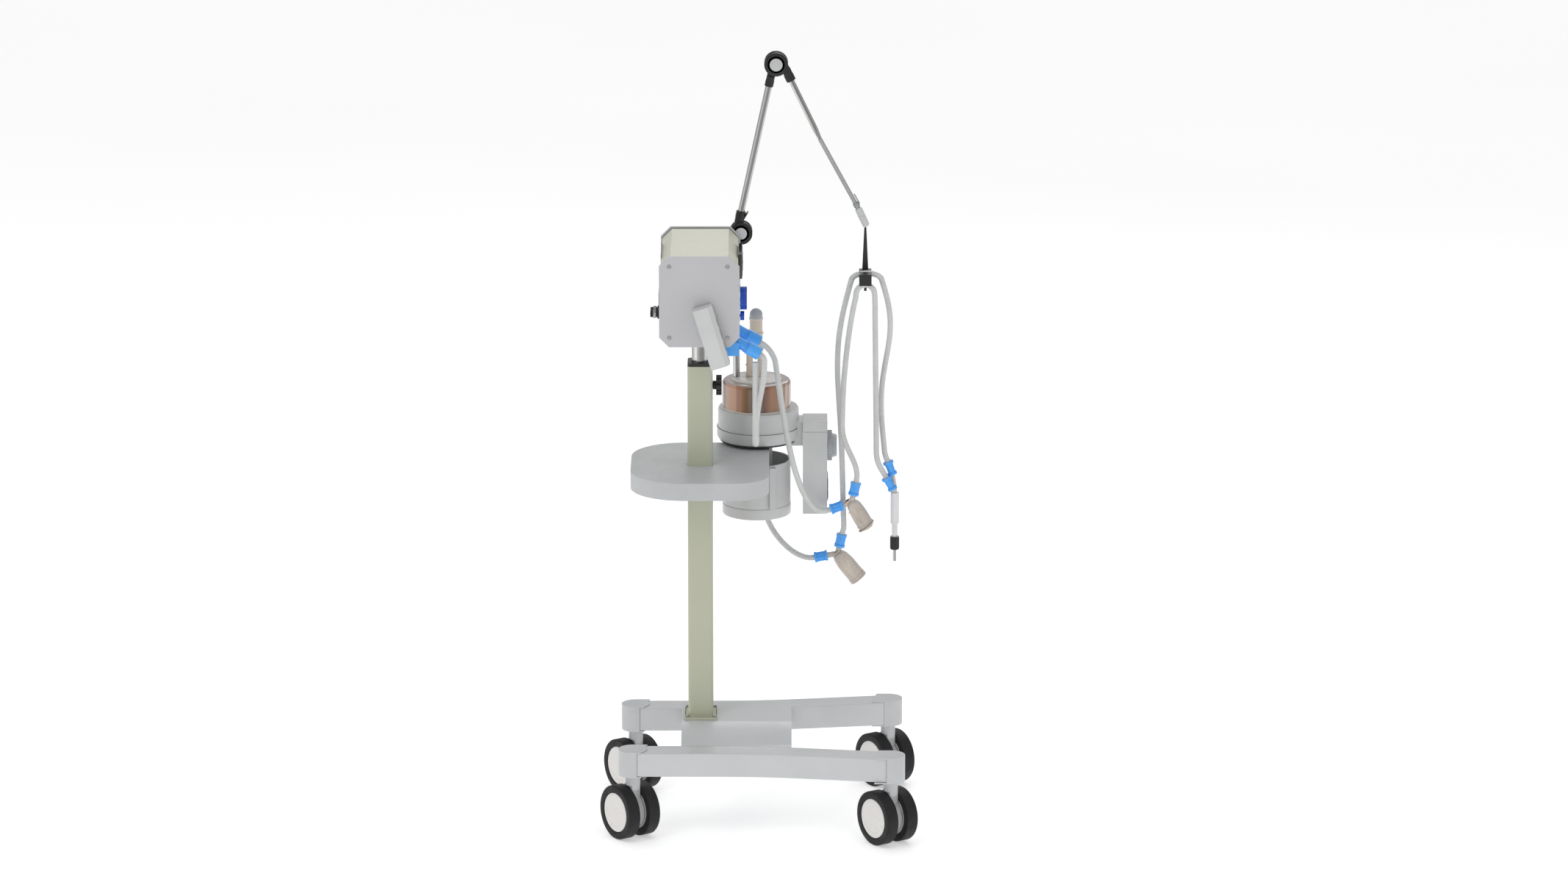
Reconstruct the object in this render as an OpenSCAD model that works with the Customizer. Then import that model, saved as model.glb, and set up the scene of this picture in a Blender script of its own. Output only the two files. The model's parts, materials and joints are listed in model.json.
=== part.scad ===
// Mobile infant ventilator: wheeled trolley, lift column, ventilator head,
// heated humidifier, support arm and patient circuit.
// Millimetres, +Z up. +X is the operator's side (front) with the knobs, -Y the left side plate.
// Origin: on the floor, midway between the four casters.

/* [Trolley] */
// Height of the leg tops above the floor
leg_top = 207.5; // [205:0.5:210]
// Height of the leg section
leg_h = 55; // [52:1:56]
// Width of the leg section
leg_w = 62; // [56:1:64]
// Leg centre line from the middle, at the rear
leg_y = 178; // [174:1:182]
// How far each leg splays out over its front half, per millimetre of run
splay = 0.155; // [0.12:0.005:0.17]
// Wheel diameter
wheel_d = 125; // [120:1:126]
// Angle the casters stand at
caster_ang = 55.5; // [45:0.5:65]

/* [Column] */
// Width of the square pole
pole_w = 57; // [56:0.5:58]
// Wall of the square pole
pole_t = 3; // [2.5:0.5:4]
// Radius of the sliding mast
mast_r = 18.6; // [18:0.1:19]
// Radial clearance of every running fit
run_gap = 0.05; // [0.03:0.01:0.08]

/* [Ventilator head] */
// Height of the head's underside
head_z = 1142.5; // [1140:0.5:1145]
// Height of the side plates
head_h = 208.5; // [206:0.5:210]
// Length of the side plates
head_l = 180.6; // [178:0.2:182]
// Corner chamfer of the side plates
head_c = 22; // [18:1:24]
// Half the width over the side plates
head_y = 150; // [148:1:151]

/* [Tray] */
// Height of the tray's top
tray_top = 834; // [832:1:836]
// Tray thickness
tray_h = 40; // [38:1:40]

/* [Humidifier] */
// Radius of the heater base
heater_r = 95; // [93:1:96]
// Radius of the water chamber
chamber_r = 79; // [77:1:80]
// Radius of the lower cup
cup_r = 78; // [76:1:79]

/* [Hidden] */
$fn = 64;
tiny = 0.01;                  // overlap or gap between touching shapes
pole_x = -139.4;              // pole axis
humid_x = -12;                // humidifier axis
humid_y = 200;
arm_y = 172;                  // plane of the support arm

// ---- trolley
leg_bottom = leg_top - leg_h;
leg_wall = 3;
leg_end = 282.9;              // half the leg length
splay_blend = 60;             // eases the legs into their splay
caster_x = 292.5;             // caster swivel axis
cap_rim = 1.6;                // how far an end cap stands out sideways
cap_lip = 2.5;                // and above and below the leg
stem_r = 6;                   // caster stem
arch_rise = 30.5;             // cross beam's crown above the leg tops
beam_back = -183;
beam_front = 68;
rib_t = 6;
foot_t = 6;
foot_z = leg_top + arch_rise;
foot_bolt_r = 3.9;
foot_bolt_hole_r = 4.1;

function leg_mid(x) = leg_y + splay*(x + sqrt(x*x + splay_blend*splay_blend))/2;

module leg_plan(side, half_l, width) {
  steps = 24;
  stations = [for (i = [0:steps]) half_l*(2*i/steps - 1)];
  inner = [for (i = [0:steps]) [stations[i], side*(leg_mid(stations[i]) - width/2)]];
  outer = [for (i = [steps:-1:0]) [stations[i], side*(leg_mid(stations[i]) + width/2)]];
  polygon(side > 0 ? concat(inner, outer) : concat(outer, inner));
}

module leg_solid(side)
  translate([0, 0, leg_bottom]) linear_extrude(leg_h) leg_plan(side, leg_end, leg_w);

// hollow legs, open at both ends
module legs() color([0.74, 0.745, 0.75]) for (side = [-1, 1]) difference() {
  leg_solid(side);
  translate([0, 0, leg_bottom + leg_wall])
    linear_extrude(leg_h - 2*leg_wall) leg_plan(side, 284, leg_w - 2*leg_wall);
}

// end: 1 front, -1 rear; side: 1 right, -1 left
module end_cap(end, side) {
  y = side*leg_mid(end*caster_x);
  bottom = leg_bottom - cap_lip;
  half_w = leg_w/2 + cap_rim;
  difference() {
    translate([0, 0, bottom]) linear_extrude(leg_h + 2*cap_lip) union() {
      translate([end*caster_x, y]) circle(r = half_w, $fn = 64);
      polygon([
        [end*caster_x, y - half_w], [end > 0 ? 255 : -274, y - half_w],
        [end > 0 ? 266 : -260, y + half_w], [end*caster_x, y + half_w]]);
    }
    // pocket for the leg's end
    translate([end > 0 ? 243 : -283, y - leg_w, leg_bottom - 0.1])
      cube([40, 2*leg_w, leg_h + 0.2]);
    translate([end*caster_x, y, bottom - 1]) cylinder(r = stem_r + run_gap, h = 47);
  }
}

module end_caps() color([0.75, 0.755, 0.76])
  for (end = [-1, 1]) for (side = [-1, 1]) end_cap(end, side);

// height of the beam above the leg tops: flat in the middle, falling to each leg
function arch(y) = let (flat = y < 0 ? 54 : 100)
  abs(y) < flat ? arch_rise
    : arch_rise*max(0, 1 - pow((abs(y) - flat)/(leg_y - leg_w/2 - flat), 1.45));

// arched strip: its underside starts depth below and follows that share of the arch
module arch_side(depth, share) {
  stations = [for (i = [0:40]) -175 + i*8.75];
  polygon(concat(
    [for (i = [0:40]) [stations[i], leg_top + arch(stations[i])]],
    [for (i = [40:-1:0]) [stations[i], leg_top - depth + arch(stations[i])*share]]));
}

// a YZ outline extruded forward from x
module forward(x, length) translate([x, 0, 0]) rotate([90, 0, 90]) linear_extrude(length)
  children();

// four bolt places round the pole, at leg-top height
module at_foot_bolts() for (dx = [-31, 31]) for (dy = [-40, 40])
  translate([pole_x + dx, dy, leg_top]) children();

module cross_beam() color([0.74, 0.745, 0.75]) difference() {
  union() {
    forward(beam_back, beam_front - beam_back) arch_side(6, 0.99);
    for (x = [beam_back, pole_x - 20, pole_x + 14, beam_front - rib_t])
      forward(x, rib_t) arch_side(40, 0.7);
  }
  for (side = [-1, 1]) leg_solid(side);
  at_foot_bolts() translate([0, 0, -20]) cylinder(r = foot_bolt_hole_r, h = 70);
}

module foot_plate() color([0.70, 0.71, 0.63]) difference() {
  at_pole(foot_z) linear_extrude(foot_t)
    offset(r = 4, $fn = 32) square([67, 92], center = true);
  at_foot_bolts() translate([0, 0, 25]) cylinder(r = foot_bolt_hole_r, h = 20);
}

module foot_bolts() color([0.6, 0.61, 0.62]) at_foot_bolts() {
  translate([0, 0, arch_rise + foot_t]) cylinder(r = 5, h = 3.5, $fn = 6);
  translate([0, 0, 8]) cylinder(r = foot_bolt_r, h = 29);
}

// ---- column
pole_bottom = foot_z + foot_t;
pole_top = 1066;
pole_corner = 8;
pole_in = pole_w - 2*pole_t;  // width of the pole's bore
mast_z = 800;
mast_wall = 2.5;
lock_z = 1017;                // height of the lock knob
lock_r = 6;

module at_pole(z) translate([pole_x, 0, z]) children();

module rounded_square(width, radius)
  offset(r = radius, $fn = 32) square(width - 2*radius, center = true);

// hole for a part that fits round the pole
module pole_hole(z, height) at_pole(z) linear_extrude(height)
  rounded_square(pole_w + 0.2, pole_corner);

module pole() color([0.70, 0.71, 0.63]) difference() {
  at_pole(pole_bottom) linear_extrude(pole_top - pole_bottom)
    rounded_square(pole_w, pole_corner);
  at_pole(leg_top + 40) linear_extrude(pole_top) rounded_square(pole_in, 5.5);
  at_pole(lock_z) rotate([0, 90, 0]) cylinder(r = lock_r + run_gap, h = 50);
}

module pole_collar() color([0.12, 0.12, 0.12]) difference() {
  union() {
    at_pole(pole_top) linear_extrude(8) rounded_square(pole_w - 1, pole_corner);
    at_pole(pole_top - 30) linear_extrude(30 + tiny) rounded_square(pole_in - 0.3, 5.3);
  }
  at_pole(1000) cylinder(r = mast_r + run_gap, h = 200);
}

// sliding tube with a square foot that fits the pole's bore
module mast() color([0.8, 0.81, 0.82]) difference() {
  union() {
    at_pole(mast_z) cylinder(r = mast_r, h = head_z + 8 - mast_z);
    at_pole(mast_z - 20) linear_extrude(40) rounded_square(pole_in - 0.2, 5.3);
  }
  at_pole(mast_z - 30) cylinder(r = mast_r - mast_wall, h = 500);
}

module lock_knob() color([0.1, 0.1, 0.1]) at_pole(lock_z) rotate([0, 90, 0]) {
  translate([0, 0, mast_r + 1.2]) cylinder(r = lock_r, h = 23.4);
  translate([0, 0, pole_w/2 + 0.5]) cylinder(r = 10, h = 9);
  difference() {
    translate([0, 0, pole_w/2 + 8]) cylinder(r = 23, h = 12.5);
    for (i = [0:5]) rotate(i*60) translate([26, 0, 30]) cylinder(r = 8, h = 30, $fn = 32);
  }
}

// ---- casters, with local X along the wheel's roll direction and Y along the axle
wheel_r = wheel_d/2;
tyre_w = 30;
wheel_gap = 24;               // space between the twin wheels
trail = 12;                   // axle's offset from the swivel axis
axle_r = 6;
hub_r = 45;
fork_w = wheel_gap - 2;
fork_neck_r = 16.5;

// hub outline: [radius, distance outward from the tyre's inner face]
hub_outline = [
  [0, 2], [12, 2], [12, 5], [39, 5], [39, 1.5], [hub_r, 1.5],
  [hub_r, 28.5], [43, 29.5], [30, 28.6], [6, 28], [0, 28]];

module at_caster(end, side)
  translate([end*caster_x, side*leg_mid(end*caster_x), 0]) rotate(-caster_ang) children();

module fork(end, side) color([0.6, 0.605, 0.61]) at_caster(end, side) difference() {
  neck_z = wheel_d + 1;
  union() {
    translate([0, 0, neck_z]) cylinder(r = fork_neck_r, h = leg_bottom - 3.5 - neck_z);
    translate([0, 0, 140]) cylinder(r = stem_r, h = 50);
    // neck narrowed to pass between the wheels
    translate([0, 0, wheel_d - 10]) intersection() {
      cylinder(r = fork_neck_r, h = 12);
      cube([60, fork_w, 40], center = true);
    }
    translate([-trail, 0, wheel_r]) rotate([90, 0, 0])
      cylinder(r = 42, h = fork_w, center = true);
    translate([-13, -fork_w/2, wheel_r]) cube([26, fork_w, wheel_r]);
  }
  translate([0, 0, -1]) cylinder(r = 40, h = 34);
  translate([-trail, 0, wheel_r]) rotate([90, 0, 0])
    cylinder(r = axle_r + run_gap, h = 60, center = true);
}

// [radius, distance along the axle]
module tyre_outline() {
  half_w = tyre_w/2;
  polygon([
    [hub_r, 1.5 - half_w], [50, -half_w], [wheel_r - 3, -half_w],
    [wheel_r - 0.9, 1 - half_w], [wheel_r, 2.5 - half_w],
    [wheel_r, half_w - 2.5], [wheel_r - 0.9, half_w - 1],
    [wheel_r - 3, half_w], [50, half_w], [hub_r, half_w - 1.5]]);
}

module tyres(end, side) color([0.13, 0.13, 0.14]) at_caster(end, side) for (twin = [-1, 1])
  translate([-trail, twin*(wheel_gap + tyre_w)/2, wheel_r]) rotate([90, 0, 0])
    rotate_extrude($fn = 96) tyre_outline();

// two hubs joined by their axle
module hubs(end, side) color([0.88, 0.87, 0.86]) at_caster(end, side)
  translate([-trail, 0, wheel_r]) rotate([90, 0, 0]) {
    cylinder(r = axle_r, h = wheel_gap + 10, center = true);
    for (turn = [180, 0]) rotate([turn, 0, 0]) rotate_extrude($fn = 96)
      polygon([for (p = hub_outline) [p[0], wheel_gap/2 + p[1]]]);
  }

module fork_front_left() fork(1, -1);
module tyres_front_left() tyres(1, -1);
module hubs_front_left() hubs(1, -1);
module fork_front_right() fork(1, 1);
module tyres_front_right() tyres(1, 1);
module hubs_front_right() hubs(1, 1);
module fork_rear_left() fork(-1, -1);
module tyres_rear_left() tyres(-1, -1);
module hubs_rear_left() hubs(-1, -1);
module fork_rear_right() fork(-1, 1);
module tyres_rear_right() tyres(-1, 1);
module hubs_rear_right() hubs(-1, 1);

// ---- tray and humidifier bracket
tray_back = -297;
tray_front = 17;
tray_y = 182;                 // half the tray's width
tray_wall = 4;
back_r = 120;                 // corner radii
front_left_r = 78;
front_right_r = 30;

module tray_plan(inset) hull() {
  for (side = [-1, 1]) translate([tray_back + back_r, side*(tray_y - back_r)])
    circle(r = back_r - inset, $fn = 96);
  translate([tray_front - front_left_r, -tray_y + front_left_r])
    circle(r = front_left_r - inset, $fn = 96);
  translate([tray_front - front_right_r, tray_y - front_right_r])
    circle(r = front_right_r - inset, $fn = 64);
}

// open underneath, with a square boss round the pole
module tray() color([0.73, 0.735, 0.74]) difference() {
  union() {
    difference() {
      translate([0, 0, tray_top - tray_h]) linear_extrude(tray_h) tray_plan(0);
      translate([0, 0, tray_top - tray_h - 1]) linear_extrude(tray_h - 4) tray_plan(tray_wall);
    }
    at_pole(tray_top - tray_h) linear_extrude(tray_h - 2) square(pole_w + 18, center = true);
  }
  pole_hole(tray_top - 60, 100);
}

// collar round the pole with a bar that reaches the cup
module humidifier_bracket() color([0.55, 0.56, 0.57]) difference() {
  heading = atan2(humid_y, humid_x - pole_x);
  reach = sqrt(humid_y*humid_y + (humid_x - pole_x)*(humid_x - pole_x));
  union() {
    at_pole(757) linear_extrude(34) rounded_square(pole_w + 20, 12);
    at_pole(760) rotate(heading) translate([30, -17, 0]) cube([reach - 30 - cup_r + 8, 34, 28]);
  }
  pole_hole(700, 200);
  at_humid([0, 0, 700]) cylinder(r = cup_r, h = 200, $fn = 96);
}

// ---- ventilator head
head_back = -229.2;
head_front = head_back + head_l;
head_top = head_z + head_h;
plate_t = 4;
shell_inset = 3.6;            // shell's outside, in from the side plates' edge
screw_xs = [head_back + 23, head_front - 27];
screw_zs = [head_z + 22, head_top - 23];
screw_hole_r = 2.1;
flow_z = 1219.6;
pressure_z = 1179;
bracket_x = -120;             // pin of the side bracket
bracket_z = 1226;
bracket_pin_r = 6;
socket_ys = [-70, -35];       // round sockets on the rear panel

// chamfered outline of the head in X and Z
module head_outline(inset) {
  x0 = head_back + inset;
  x1 = head_front - inset;
  z0 = head_z + inset;
  z1 = head_top - inset;
  polygon([
    [x0 + head_c, z0], [x1 - head_c, z0], [x1, z0 + head_c], [x1, z1 - head_c],
    [x1 - head_c, z1], [x0 + head_c, z1], [x0, z1 - head_c], [x0, z0 + head_c]]);
}

module along_y(y0, y1) translate([0, y1, 0]) rotate([90, 0, 0]) linear_extrude(y1 - y0)
  children();

module at_screws() for (x = screw_xs) for (z = screw_zs) translate([x, 0, z]) children();

// on the head's front, with local Z pointing forward
module on_front(z) translate([head_front, 0, z]) rotate([0, 90, 0]) children();

module knob_holes() {
  on_front(flow_z) translate([0, 0, -30]) cylinder(r = 7, h = 60);
  on_front(pressure_z) translate([0, 0, -30]) cylinder(r = 5, h = 60);
}

module side_plates() color([0.73, 0.73, 0.735]) difference() {
  union() {
    along_y(-head_y, -head_y + plate_t) head_outline(0);
    along_y(head_y - plate_t, head_y) head_outline(0);
  }
  at_screws() rotate([90, 0, 0]) cylinder(r = screw_hole_r, h = 400, center = true);
  translate([bracket_x, -head_y + 5, bracket_z]) rotate([90, 0, 0])
    cylinder(r = bracket_pin_r + run_gap, h = 10);
}

module shell() color([0.83, 0.83, 0.77]) difference() {
  along_y(-head_y + plate_t, head_y - plate_t) head_outline(shell_inset);
  along_y(-head_y + 3, head_y - 3) head_outline(7);
  at_pole(head_z - 5) cylinder(r = mast_r + 1.5, h = 30);
  knob_holes();
}

// floor with a mast socket, four cross bars and two upright frames
module head_frame() color([0.62, 0.63, 0.64]) difference() {
  floor_z = head_z + 7.2;
  bar_w = 6;
  union() {
    translate([head_back + 30, -136, floor_z]) cube([head_l - 60, 272, 4]);
    at_pole(floor_z) cylinder(r = 30, h = 24);
    at_screws() rotate([90, 0, 0]) cylinder(r = 6, h = 291, center = true);
    for (y = [-60, 60]) {
      for (x = [screw_xs[0] + 8, screw_xs[1] - 10])
        translate([x, y, head_z + 8]) cube([bar_w, bar_w, 182]);
      for (z = screw_zs) {
        translate([screw_xs[0], y, z - bar_w/2]) cube([10, bar_w, bar_w]);
        translate([screw_xs[1] - 8, y, z - bar_w/2]) cube([8, bar_w, bar_w]);
      }
    }
  }
  at_pole(head_z - 20) cylinder(r = mast_r, h = 28);
  at_screws() rotate([90, 0, 0]) for (side = [-1, 1])
    translate([0, 0, side*140]) cylinder(r = screw_hole_r, h = 26, center = true);
}

module plate_screws() color([0.66, 0.67, 0.68])
  at_screws() for (side = [-1, 1]) rotate([side*90, 0, 0]) {
    translate([0, 0, head_y - 16]) cylinder(r = 2, h = 17);
    difference() {
      translate([0, 0, head_y + tiny]) cylinder(r1 = 4.6, r2 = 3.6, h = 2);
      translate([-3, -0.5, head_y + 1.2]) cube([6, 1, 2]);
    }
  }

module front_panel() color([0.45, 0.78, 0.86]) difference() {
  translate([head_front - shell_inset, -128, 1166]) cube([3.2, 256, 104]);
  knob_holes();
}

module display() color([0.08, 0.1, 0.09])
  translate([head_front - shell_inset, -55, 1277]) cube([9.2, 110, 57]);

// a plate with two round sockets and a recessed rectangular one
module rear_panel() color([0.3, 0.31, 0.32]) translate([head_back, 0, 0]) difference() {
  union() {
    translate([0.6, -110, 1175]) cube([3, 220, 110]);
    for (y = socket_ys) translate([1, y, 1200]) rotate([0, -90, 0]) {
      cylinder(r = 11, h = 6);
      cylinder(r = 7.5, h = 22);
    }
    translate([-4, 30, 1190]) cube([6, 50, 34]);
  }
  for (y = socket_ys) translate([1, y, 1200]) rotate([0, -90, 0])
    translate([0, 0, 6]) cylinder(r = 4, h = 30);
  translate([-5, 36, 1196]) cube([5, 38, 22]);
}

module control_board() color([0.1, 0.35, 0.2]) {
  translate([head_front - 24, -95, 1170]) cube([1.6, 190, 150]);
  for (y = [-70, -20, 40]) for (z = [1250, 1290])
    translate([head_front - 30, y, z]) cube([6 + tiny, 26, 18]);
}

module valve_block() color([0.75, 0.76, 0.78]) translate([-215, -125, 1220]) {
  cube([60, 60, 60]);
  translate([60 - tiny, 10, 12]) cube([40, 40, 30]);
  translate([30, 30, 60 - tiny]) cylinder(r = 17, h = 34);
}

module power_supply() color([0.7, 0.7, 0.66]) translate([-189, 20, 1215]) {
  cube([98, 100, 48]);
  translate([19, 20, 48 - tiny]) cylinder(r = 14, h = 30);
  translate([39, 25, 48 - tiny]) cube([34, 40, 28]);
}

// hose sockets under the head: each leans below level and ends at its tip
port_tips = [[-3, -108, 1115.6], [-3, -12, 1119.5]];
port_dip = 30;
port_block_z = 1116;

module at_port(tip) translate(tip) rotate([0, 90 + port_dip, 0]) children();

module port_block() color([0.24, 0.61, 0.96]) difference() {
  union() {
    translate([-82, -126, port_block_z]) cube([32, 132, head_z + 3.5 - port_block_z]);
    for (tip = port_tips) at_port(tip) {
      translate([0, 0, -60]) cylinder(r = 12.5, h = 58);
      translate([0, 0, -38]) cylinder(r = 13.8, h = 3);
      translate([0, 0, -33]) cylinder(r = 15, h = 31);
    }
  }
  for (tip = port_tips) at_port(tip) translate([0, 0, -44]) cylinder(r = 9, h = 60);
}

// fluted knob with a pointer groove
module flow_knob() color([0.15, 0.33, 0.78]) on_front(flow_z) {
  translate([0, 0, -18]) cylinder(r = 5, h = 20);
  difference() {
    translate([0, 0, 0.6]) cylinder(r = 26, h = 15);
    for (i = [0:11]) rotate(i*30) translate([28, 0, 4]) cylinder(r = 4, h = 30, $fn = 32);
    translate([-1, 14, 14.6]) cube([2, 10, 4]);
  }
}

module pressure_knob() color([0.15, 0.33, 0.78]) on_front(pressure_z) {
  translate([0, 0, -18]) cylinder(r = 3.5, h = 20);
  difference() {
    translate([0, 0, 0.6]) cylinder(r = 10.5, h = 9);
    translate([-0.7, 3, 9]) cube([1.4, 6, 4]);
  }
}

// tilted block on a pin in the left side plate
module side_bracket() color([0.72, 0.725, 0.73]) {
  translate([bracket_x, -head_y + 6, bracket_z]) rotate([90, 0, 0])
    cylinder(r = bracket_pin_r, h = 9.5);
  translate([bracket_x, 0, bracket_z]) rotate([0, -17, 0]) difference() {
    translate([0, -head_y, -126]) linear_extrude(142)
      polygon([[-30, -36], [4, -36], [14, -26], [14, -2.6], [-30, -2.6]]);
    translate([-23, -head_y - 22, -122]) cube([44, 16, 20]);
    for (z = [-96, -66, -36]) translate([7, -head_y - 21, z]) cube([30, 5, 20]);
  }
}

// ---- humidifier
cup_z = 690;
cup_wall = 4;
cup_core_h = 151.3;           // the cup's core reaches up to the heater base
ring_hole_x = 20;             // hole in the cup ring's floor, from the axis
heater_z = 841.4;
chamber_z = 900.2;
lid_z = 981.3;
probe_x = -46;                // the probe and two tubes through the lid, from the axis
tube_xs = [-16, 8];

module at_humid(place) translate(place + [humid_x, humid_y, 0]) children();

module lid_hole(x, radius) at_humid([x, 0, 960]) cylinder(r = radius, h = 40);

module cup() color([0.71, 0.71, 0.71]) union() {
  at_humid([0, 0, cup_z]) difference() {
    cylinder(r = cup_r, h = 102, $fn = 96);
    translate([0, 0, 5]) cylinder(r = cup_r - cup_wall, h = 120, $fn = 96);
  }
  at_humid([0, 0, cup_z]) cylinder(r = 17, h = cup_core_h, $fn = 64);
  at_humid([30, -cup_r - 1, cup_z + 1]) cube([13.5, 14, 97]);
  at_humid([22, -12, cup_z]) cube([14, 24, cup_core_h]);
}

module cup_ring() color([0.73, 0.725, 0.71]) difference() {
  at_humid([0, 0, 664]) cylinder(r = cup_r + 0.6, h = 25.8, $fn = 96);
  at_humid([0, 0, 668]) cylinder(r = cup_r - cup_wall, h = 30, $fn = 96);
  at_humid([ring_hole_x, 0, 660]) cylinder(r = 8, h = 20);
}

module heater_base() color([0.73, 0.735, 0.74]) difference() {
  union() {
    // [radius, height]
    at_humid([4, 0, heater_z]) rotate_extrude($fn = 96) polygon([
      [0, 0], [heater_r - 9, 0], [heater_r - 3, 2.5], [heater_r, 8], [heater_r, 27],
      [heater_r - 2.2, 32], [heater_r - 2.2, 70], [heater_r - 5, 74.5], [0, 74.5]]);
    at_humid([78, -32, 830]) cube([27.6, 64, 56]);
    at_humid([4, 0, heater_z]) cylinder(r = 30, h = 2);
  }
  at_humid([0, 0, 900]) cylinder(r = chamber_r + 1, h = 40, $fn = 96);
  at_humid([0, 0, 870]) cylinder(r = 62, h = 40, $fn = 96);
}

module heater_plate() color([0.7, 0.71, 0.72])
  at_humid([0, 0, 871]) cylinder(r = 60, h = 28, $fn = 96);

module chamber() color([0.62, 0.38, 0.26]) difference() {
  // [radius, height]
  at_humid([0, 0, chamber_z]) rotate_extrude($fn = 96) polygon([
    [0, 0], [chamber_r - 1, 0], [chamber_r, 1], [chamber_r, 71.5], [chamber_r - 0.7, 75],
    [chamber_r - 2.6, 78.2], [chamber_r - 5.6, 80.3], [chamber_r - 9, 81], [0, 81]]);
  at_humid([0, 0, 904]) cylinder(r = chamber_r - 3, h = 69, $fn = 96);
  lid_hole(probe_x, 7.65);
  for (x = tube_xs) lid_hole(x, 5);
}

module chamber_lid() color([0.86, 0.85, 0.83]) difference() {
  at_humid([0, 0, lid_z]) rotate_extrude($fn = 96)
    polygon([[0, 0], [56, 0], [56, 3], [53, 5], [0, 5]]);
  lid_hole(probe_x, 7.65);
  lid_hole(tube_xs[0], 7.7);
  lid_hole(tube_xs[1], 6.2);
}

// domed tower on a cross block, standing on the two tubes
module chamber_tower() color([0.8, 0.75, 0.68]) {
  tower_r = 14.8;
  at_humid([-1, 0, 1062]) rotate_extrude($fn = 64) polygon(concat(
    [[0, 0], [17, 0], [17, 5], [tower_r, 7], [tower_r, 70]],
    [for (i = [0:12]) [tower_r*cos(i*7.5), 70 + tower_r*sin(i*7.5)]]));
  at_humid([-25, -11, 1054]) cube([41, 22, 9]);
  at_humid([tube_xs[0], 0, lid_z + 0.2]) cylinder(r = 7.6, h = 75);
  at_humid([tube_xs[1], 0, lid_z + 0.2]) cylinder(r = 6, h = 75);
}

module probe_rod() color([0.8, 0.81, 0.82]) {
  at_humid([probe_x, 0, 930]) cylinder(r = 4, h = 60);
  at_humid([probe_x, 0, 986.5]) cylinder(r = 7.5, h = 88);
}

// control box in front of the humidifier
box_back = 94;
box_front = 150;
box_w = 80;
box_z = 670;
box_h = 194;
heat_z = 823;                 // height of the heat knob
heat_spindle_r = 6;

module control_box() color([0.72, 0.725, 0.73]) difference() {
  box_l = box_front - box_back;
  box_left = humid_y - box_w/2;
  union() {
    translate([box_back, box_left, box_z]) cube([box_l, box_w, box_h]);
    // slightly larger top, joined by a smaller neck
    translate([box_back - 0.4, box_left - 0.4, box_z + box_h + 0.6])
      cube([box_l + 0.8, box_w + 0.8, 23.4]);
    translate([box_back + 2, box_left + 2, box_z + box_h - 1]) cube([box_l - 4, box_w - 4, 3]);
  }
  translate([box_back + 4, box_left + 4, box_z + 5]) cube([box_l - 8, box_w - 8, box_h - 10]);
  translate([box_front - 20, humid_y, heat_z]) rotate([0, 90, 0])
    cylinder(r = heat_spindle_r + run_gap, h = 40);
}

module box_display() color([0.1, 0.16, 0.3])
  translate([box_front + 0.2, humid_y - 32, 700]) cube([1.6, 64, 52]);

module heat_knob() color([0.6, 0.61, 0.63])
  translate([box_front, humid_y, heat_z]) rotate([0, 90, 0]) {
    translate([0, 0, -14]) cylinder(r = heat_spindle_r, h = 16);
    difference() {
      union() {
        translate([0, 0, 0.6]) cylinder(r = 34.5, h = 10.6, $fn = 96);
        translate([0, 0, 11]) cylinder(r1 = 28, r2 = 25, h = 11, $fn = 96);
      }
      translate([-1, 12, 21]) cube([2, 14, 4]);
    }
  }

// ---- support arm, placed by [x, z] in its plane
low_joint = [-47, 1332];
top_joint = [33, 1724];
end_joint = [236, 1352];
// the tubes stand off the joints' centres
lower_start = [-57, 1332];
lower_end = [27.5, 1724];
upper_start = [48.5, 1724];
goose_start = [134, 1546];
goose_end = [220, 1387];
lower_l = norm(lower_end - lower_start);
upper_l = norm(goose_start - upper_start);
tongue_t = 9.6;               // middle leaf of a joint
joint_pin_r = 7;
end_pin_r = 3;

// tilt from +Z towards +X of the line between two places
function tilt(from, to) = atan2(to[0] - from[0], to[1] - from[1]);

module in_arm(place, angle)
  translate([place[0], arm_y, place[1]]) rotate([0, angle, 0]) children();

// disc lying in the arm's plane, shifted towards -Y
module disc(place, radius, height, shift = 0)
  translate([place[0], arm_y, place[1]]) rotate([90, 0, 0]) translate([0, 0, shift])
    cylinder(r = radius, h = height, center = true);

// round bar on the line between two places, begin to end along it
module rod(from, to, radius, begin, end) in_arm(from, tilt(from, to))
  translate([0, 0, begin]) cylinder(r = radius, h = end - begin, $fn = 48);

module ears(place, radius) for (side = [-1, 1]) disc(place, radius, 9, side*9.6);

// pin through a joint, with a washer on each side
module joint_pin(place, washer_r) {
  disc(place, joint_pin_r, 20);
  for (side = [-1, 1]) disc(place, washer_r, 2.2, side*15);
}

module arm_post() color([0.12, 0.12, 0.12]) difference() {
  post_x = low_joint[0] - 26;
  post_z = 1195;
  union() {
    disc(low_joint, 24, tongue_t);
    translate([post_x, arm_y - tongue_t/2, post_z]) cube([22, tongue_t, low_joint[1] - post_z]);
    translate([post_x, head_y + 0.1, post_z]) cube([22, arm_y - head_y, 66]);
  }
  disc(low_joint, joint_pin_r + run_gap, 60);
  for (z = [1208, 1246]) translate([post_x + 11, 170, z]) rotate([90, 0, 0])
    cylinder(r = 2.6, h = 60, center = true);
}

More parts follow.
